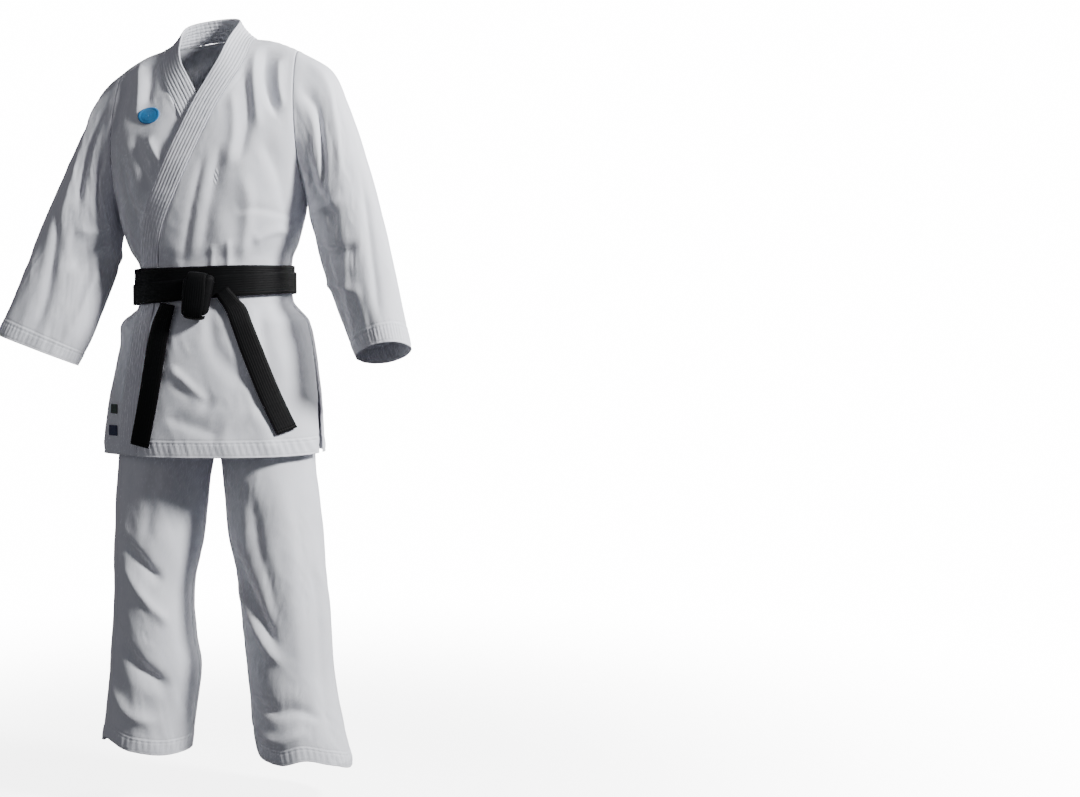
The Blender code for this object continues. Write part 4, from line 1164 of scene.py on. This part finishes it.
def wrap_piece(name, out, middle, tilt, slack):
    half_width, front, back = (float(c) for c in read(TRUNK, BELT_HEIGHT))
    shares = np.linspace(0, 1, BELT_COLUMNS)
    turns = np.linspace(0, math.tau, 260, endpoint=False)
    share, turn = np.meshgrid(shares, turns, indexing="ij")
    depth = np.where(np.cos(turn) > 0.0, front + out, back + out)
    power = 2.0 / ROUNDNESS
    sine = np.sign(np.sin(turn)) * np.abs(np.sin(turn)) ** power
    cosine = np.sign(np.cos(turn)) * np.abs(np.cos(turn)) ** power
    x, y = (half_width + out) * sine, -depth * cosine
    sway = slack * np.sin(2 * turn + 0.6) + 0.4 * slack * np.sin(5 * turn)
    z = middle + tilt * x + BELT_WIDTH * (share - 0.5) + sway
    points = np.stack([x, y, z], -1)
    normal = grid_normals(points, core_of(points), True)
    height = belt_relief(share, turn * 0.14) + 0.0003 * lattice_noise(turn * 0.14, z, 0.03, 91)
    points = posed(points + normal * height[..., None])
    return make_sheet(name, points, core_of(points), BELT_COTTON, wall=BELT_WALL, closed=True)


wrap_piece("belt_wrap_inner_cloth", 0.0062, BELT_HEIGHT + 0.0107, -0.030, 0.0008)
wrap_piece("belt_wrap_outer_cloth", 0.0095, BELT_HEIGHT - 0.0107, 0.030, 0.0008)


def ribbon_piece(name, middle, side, facing, scale, cup):
    """A belt ribbon along a line, given its side direction and facing at each row."""
    shares = np.linspace(-1, 1, BELT_COLUMNS)
    offset = shares[None, :, None] * (0.5 * BELT_WIDTH * scale)[:, None, None]
    points = middle[:, None] + side[:, None] * offset
    points = points + facing[:, None] * (cup * (1 - shares ** 2))[None, :, None]
    steps = np.concatenate([[0], np.cumsum(np.linalg.norm(np.diff(middle, axis=0), axis=1))])
    height = belt_relief(0.5 + 0.5 * shares[None, :], steps[:, None])
    points = points + facing[:, None] * height[..., None]
    core = (middle - facing * 0.05)[:, None]
    return make_sheet(name, points, core, BELT_COTTON, wall=BELT_WALL)


# %% [markdown]
# ### Tails
#
# The tails leave the knot and hang on the skirt, 8 to 9 mm proud of its skin so
# that they clear its creases. Each is cut square and sewn across at its end.

# %% Belt tails
# way down, x, height, half width, distance out from the skin
TAIL_LEFT = curve((
    (0.00, -0.057, -0.4972, 0.0150, 0.0095), (0.20, -0.068, -0.545, 0.0190, 0.0090),
    (0.40, -0.077, -0.600, 0.0200, 0.0085), (0.70, -0.089, -0.680, 0.0200, 0.0085),
    (1.00, -0.106, -0.764, 0.0200, 0.0085)))
TAIL_RIGHT = curve((
    (0.00, 0.045, -0.476, 0.0130, 0.0132), (0.18, 0.077, -0.527, 0.0165, 0.0110),
    (0.40, 0.100, -0.582, 0.0180, 0.0090), (0.70, 0.129, -0.658, 0.0175, 0.0090),
    (1.00, 0.161, -0.738, 0.0165, 0.0090)))


TAIL_LENGTH = 0.29


def tail_piece(name, table):
    ways = np.concatenate([np.linspace(0, 0.97, 96), np.linspace(0.97, 1.0, 12)[1:]])
    shares = np.linspace(-1, 1, BELT_COLUMNS)
    way, share = np.meshgrid(ways, shares, indexing="ij")
    x, z, half_width, out = read(table, way)
    ahead, behind = read(table, np.minimum(1, way + 0.02)), read(table, np.maximum(0, way - 0.02))
    run = unit(np.stack([ahead[0] - behind[0], ahead[1] - behind[1]], -1))
    side_x = x + run[..., 1] * half_width * share
    side_z = z - run[..., 0] * half_width * share
    to_end = (1 - way) * TAIL_LENGTH
    height = belt_relief(0.5 + 0.5 * share, way * TAIL_LENGTH)
    height = height + stitch_line(to_end - 0.006, share * 0.02, 0.0006, 0.0008, 0.004)
    height = height - 0.0008 * np.exp(-(to_end / 0.0012) ** 2)
    height = height - 0.0012 * ease((np.abs(share) - 0.55) / 0.45) * (1 - 0.6 * way)
    points = posed(skin_points(side_x, side_z, -1, out + height))
    return make_sheet(name, points, core_of(points), BELT_COTTON, wall=BELT_WALL)


tail_piece("belt_tail_left_cloth", TAIL_LEFT)
tail_piece("belt_tail_right_cloth", TAIL_RIGHT)

# %% [markdown]
# ### Knot
#
# A square knot seen from the front is one turn of the belt drawn tight over
# another. Here a soft core carries one ribbon that wraps from the top over the
# front and back under.

# %% Knot
KNOT_CENTRE = np.array([0.004, -0.1333, -0.484])
KNOT_WIDTH = 0.060
KNOT_DEPTH = 0.022
KNOT_LENGTH = 0.074
KNOT_FOOT_SHARE = 0.84
KNOT_CUP = 0.0016


def loop_ribbon(name, radius_y, radius_z, lean, centre, squash_width):
    """A ribbon round the core, open at the back: over the top, front and under."""
    turns = np.linspace(-1.15 * math.pi / 2 - 0.5, 1.15 * math.pi / 2 + 0.5, 90)
    power = 0.55
    y = -radius_y * np.sign(np.cos(turns)) * np.abs(np.cos(turns)) ** power
    z = radius_z * np.sign(np.sin(turns)) * np.abs(np.sin(turns)) ** power
    middle = centre + np.stack([lean * z, y, z], -1)
    run = unit(np.gradient(middle, axis=0))
    side = unit(np.array([1.0, 0.0, -lean]) + 0 * middle)
    facing = unit(np.cross(side, run))
    if np.sum(facing * (middle - centre)) < 0:
        facing = -facing
    pinch = 1.0 - squash_width * ease(np.abs(z) / radius_z)
    return ribbon_piece(name, posed(middle), side, facing, pinch, KNOT_CUP)


def knot_core():
    bpy.ops.mesh.primitive_cube_add(size=1.0)
    core = bpy.context.object
    core.name = "belt_knot_core"
    core.data.name = "belt_knot_core"
    for vert in core.data.vertices:
        x, y, z = vert.co
        width = KNOT_WIDTH * (KNOT_FOOT_SHARE if z < 0 else 1.0)
        spot = KNOT_CENTRE + (width * x + 0.010 * z, KNOT_DEPTH * y + 0.003, KNOT_LENGTH * z)
        vert.co = Vector(posed(spot))
    bevel = core.modifiers.new("soft_edges", "BEVEL")
    bevel.width = 0.010
    bevel.segments = 6
    core.data.materials.append(BELT_COTTON)
    core.data.uv_layers[0].name = "weave"
    core.data.shade_smooth()
    return core


knot = knot_core()
loop_ribbon("belt_knot_over", 0.0150, 0.0425, 0.12, KNOT_CENTRE, 0.12)

# %% [markdown]
# ## Badge and labels
#
# The badge and labels are plain. Each is drawn on the panel that carries it, from
# that panel's own points moved out, so it follows the cloth under it.

# %% Badge and labels
BADGE_X = -0.092
BADGE_Z = -0.140
BADGE_HALF_WIDTH = 0.022
BADGE_HALF_HEIGHT = 0.016
LABEL_LEFT_X = -0.187
LABEL_RIGHT_X = -0.173


def patch_points(x, z, out):
    """Points over the right front, on its creased cloth."""
    height = relief(x, z, RIGHT_FRONT_CREASES, 21)
    return posed(skin_points(x, z, -1, tuck(x, z) + height + out))


def badge_piece():
    rings = np.linspace(0.02, 1.0, 14)
    turns = np.linspace(0, math.tau, 64, endpoint=False)
    ring, turn = np.meshgrid(rings, turns, indexing="ij")
    x = BADGE_X + BADGE_HALF_WIDTH * ring * np.cos(turn)
    z = BADGE_Z + BADGE_HALF_HEIGHT * ring * np.sin(turn)
    out = 0.0012 + 0.0009 * ease((1.0 - ring) / 0.15)
    out = out - 0.0007 * np.exp(-((ring - 0.74) / 0.05) ** 2)
    points = patch_points(x, z, out)
    return make_sheet("chest_badge", points, core_of(points), BLUE_SATIN_STITCH,
                      wall=0.0010, closed=True)


def label_piece(name, low, height, material):
    xs = np.linspace(LABEL_LEFT_X, LABEL_RIGHT_X, 22)
    zs = np.linspace(low, low + height, 26)
    z, x = np.meshgrid(zs, xs, indexing="ij")
    edge = np.minimum(np.minimum(x - LABEL_LEFT_X, LABEL_RIGHT_X - x),
                      np.minimum(z - low, low + height - z))
    out = 0.0018 + 0.0004 * ease((0.0018 - edge) / 0.0008)
    points = patch_points(x, z, out)
    return make_sheet(name, points, core_of(points), material, wall=0.0008)


badge_piece()
label_piece("label_upper_cloth", -0.705, 0.018, GREEN_LABEL)
label_piece("label_lower_cloth", -0.748, 0.020, NAVY_LABEL)

# %% [markdown]
# ## Floor, backdrop and light
#
# The photograph has a bright plain ground, and one large soft light from the right
# and above, so the uniform turns from near white at its right to grey at its left.
# The floor is a pale disc that fades out, so no horizon line shows behind the
# uniform from any side.

# %% Floor
FLOOR_HEIGHT = -1.465


def pale_floor():
    material, tree, shader = new_material("pale_studio_floor")
    place = add_node(tree, "ShaderNodeTexCoord").outputs["Object"]
    away = add_node(tree, "ShaderNodeVectorMath", {"operation": "LENGTH"}, {0: place})
    fade = add_node(tree, "ShaderNodeMapRange", {"interpolation_type": "SMOOTHSTEP"},
                    {"Value": away.outputs["Value"], "From Min": 0.5, "From Max": 2.4,
                     "To Min": 1.0, "To Max": 0.0})
    tree.links.new(fade.outputs["Result"], shader.inputs["Alpha"])
    shader.inputs["Base Color"].default_value = linear("#fbfbfc")
    shader.inputs["Roughness"].default_value = 0.9
    shader.inputs["Emission Color"].default_value = linear("#ffffff")
    shader.inputs["Emission Strength"].default_value = 5.0
    bpy.ops.mesh.primitive_circle_add(vertices=96, radius=2.5, fill_type="NGON",
                                      location=(0, 0, FLOOR_HEIGHT))
    disc = bpy.context.object
    disc.name = "floor"
    disc.data.materials.append(material)
    disc.visible_diffuse = False
    disc.visible_glossy = False


pale_floor()

# %% Light


def soft_light(name, place, aim, size, watts, colour="#ffffff"):
    data = bpy.data.lights.new(name, "AREA")
    data.shape = "DISK"
    data.size = size
    data.energy = watts
    data.color = linear(colour)[:3]
    light = bpy.data.objects.new(name, data)
    light.location = place
    light.rotation_euler = (Vector(aim) - Vector(place)).to_track_quat("-Z", "Y").to_euler()
    bpy.context.scene.collection.objects.link(light)


soft_light("key", (2.9, -1.0, 1.2), (0.0, 0.0, -0.6), 0.6, 260.0)
soft_light("rim", (1.7, 1.8, 0.7), (0.1, 0.0, -0.6), 1.2, 60.0)
soft_light("fill", (-2.4, -2.2, 0.2), (0.0, 0.0, -0.7), 2.0, 6.0)

world = bpy.data.worlds.new("studio")
bpy.context.scene.world = world
world.use_nodes = True
sky = world.node_tree
sky.nodes.clear()
seen = add_node(sky, "ShaderNodeLightPath").outputs["Is Camera Ray"]
ambient = add_node(sky, "ShaderNodeBackground", None,
                   {"Color": linear("#f3f5ff"), "Strength": 0.12})
paper = add_node(sky, "ShaderNodeBackground", None,
                 {"Color": linear("#fefefe"), "Strength": 16.0})
blend = add_node(sky, "ShaderNodeMixShader", None,
                 {0: seen, 1: ambient.outputs[0], 2: paper.outputs[0]})
add_node(sky, "ShaderNodeOutputWorld", None, {"Surface": blend.outputs[0]})

# %% [markdown]
# ## What each piece is
# Every piece rides on the one body, and the CAD node it stands for is hidden.
# The table lists for each piece a finish slot and the flat size it was cut to.

DECLARED = {
    "jacket_back_cloth": ("jacket_back", "cotton_canvas", 0.56, 0.86, "hung", "trouser_waistband"),
    "jacket_front_left_cloth": ("jacket_front_left", "cotton_canvas", 0.42, 0.83, "hung",
                                "jacket_front_right"),
    "jacket_front_right_cloth": ("jacket_front_right", "cotton_canvas", 0.42, 0.83, "hung",
                                 "trouser_leg_right"),
    "collar_band_cloth": ("collar_band", "stitched_canvas", 0.045, 1.95, "hung", "jacket_back"),
    "sleeve_left_cloth": ("sleeve_left", "cotton_canvas", 0.60, 0.57, "hung", "jacket_back"),
    "sleeve_right_cloth": ("sleeve_right", "cotton_canvas", 0.60, 0.57, "hung", "jacket_back"),
    "trouser_leg_left_cloth": ("trouser_leg_left", "cotton_canvas", 0.60, 0.93, "hung",
                               "trouser_waistband"),
    "trouser_leg_right_cloth": ("trouser_leg_right", "cotton_canvas", 0.60, 0.90, "hung",
                                "trouser_waistband"),
    "trouser_waistband_cloth": ("trouser_waistband", "cotton_canvas", 0.74, 0.040, "gathered",
                                "jacket_back"),
    "belt_wrap_inner_cloth": ("belt_wrap_inner", "belt_cotton", 0.84, 0.040, "stretched",
                              "jacket_back"),
    "belt_wrap_outer_cloth": ("belt_wrap_outer", "belt_cotton", 0.86, 0.040, "stretched",
                              "belt_wrap_inner"),
    "belt_tail_left_cloth": ("belt_tail_left", "belt_cotton", 0.040, 0.28, "hung",
                             "jacket_front_left"),
    "belt_tail_right_cloth": ("belt_tail_right", "belt_cotton", 0.036, 0.30, "hung",
                              "jacket_front_left"),
    "belt_knot_over": (None, "belt_cotton", 0.040, 0.17, "folded", "belt_knot_core"),
    "label_upper_cloth": ("label_upper", "woven_label", 0.025, 0.018, "laid",
                          "jacket_front_right"),
    "label_lower_cloth": ("label_lower", "woven_label", 0.025, 0.020, "laid",
                          "jacket_front_right"),
    "chest_badge": (None, "woven_label", 0.044, 0.032, "laid", "jacket_front_right"),
}
for name, (node, slot_name, width, length, held, support) in DECLARED.items():
    piece, area = PIECES[name]
    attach(piece, "root")
    if node:
        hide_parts(node)
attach(knot, "root")
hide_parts("belt_knot")
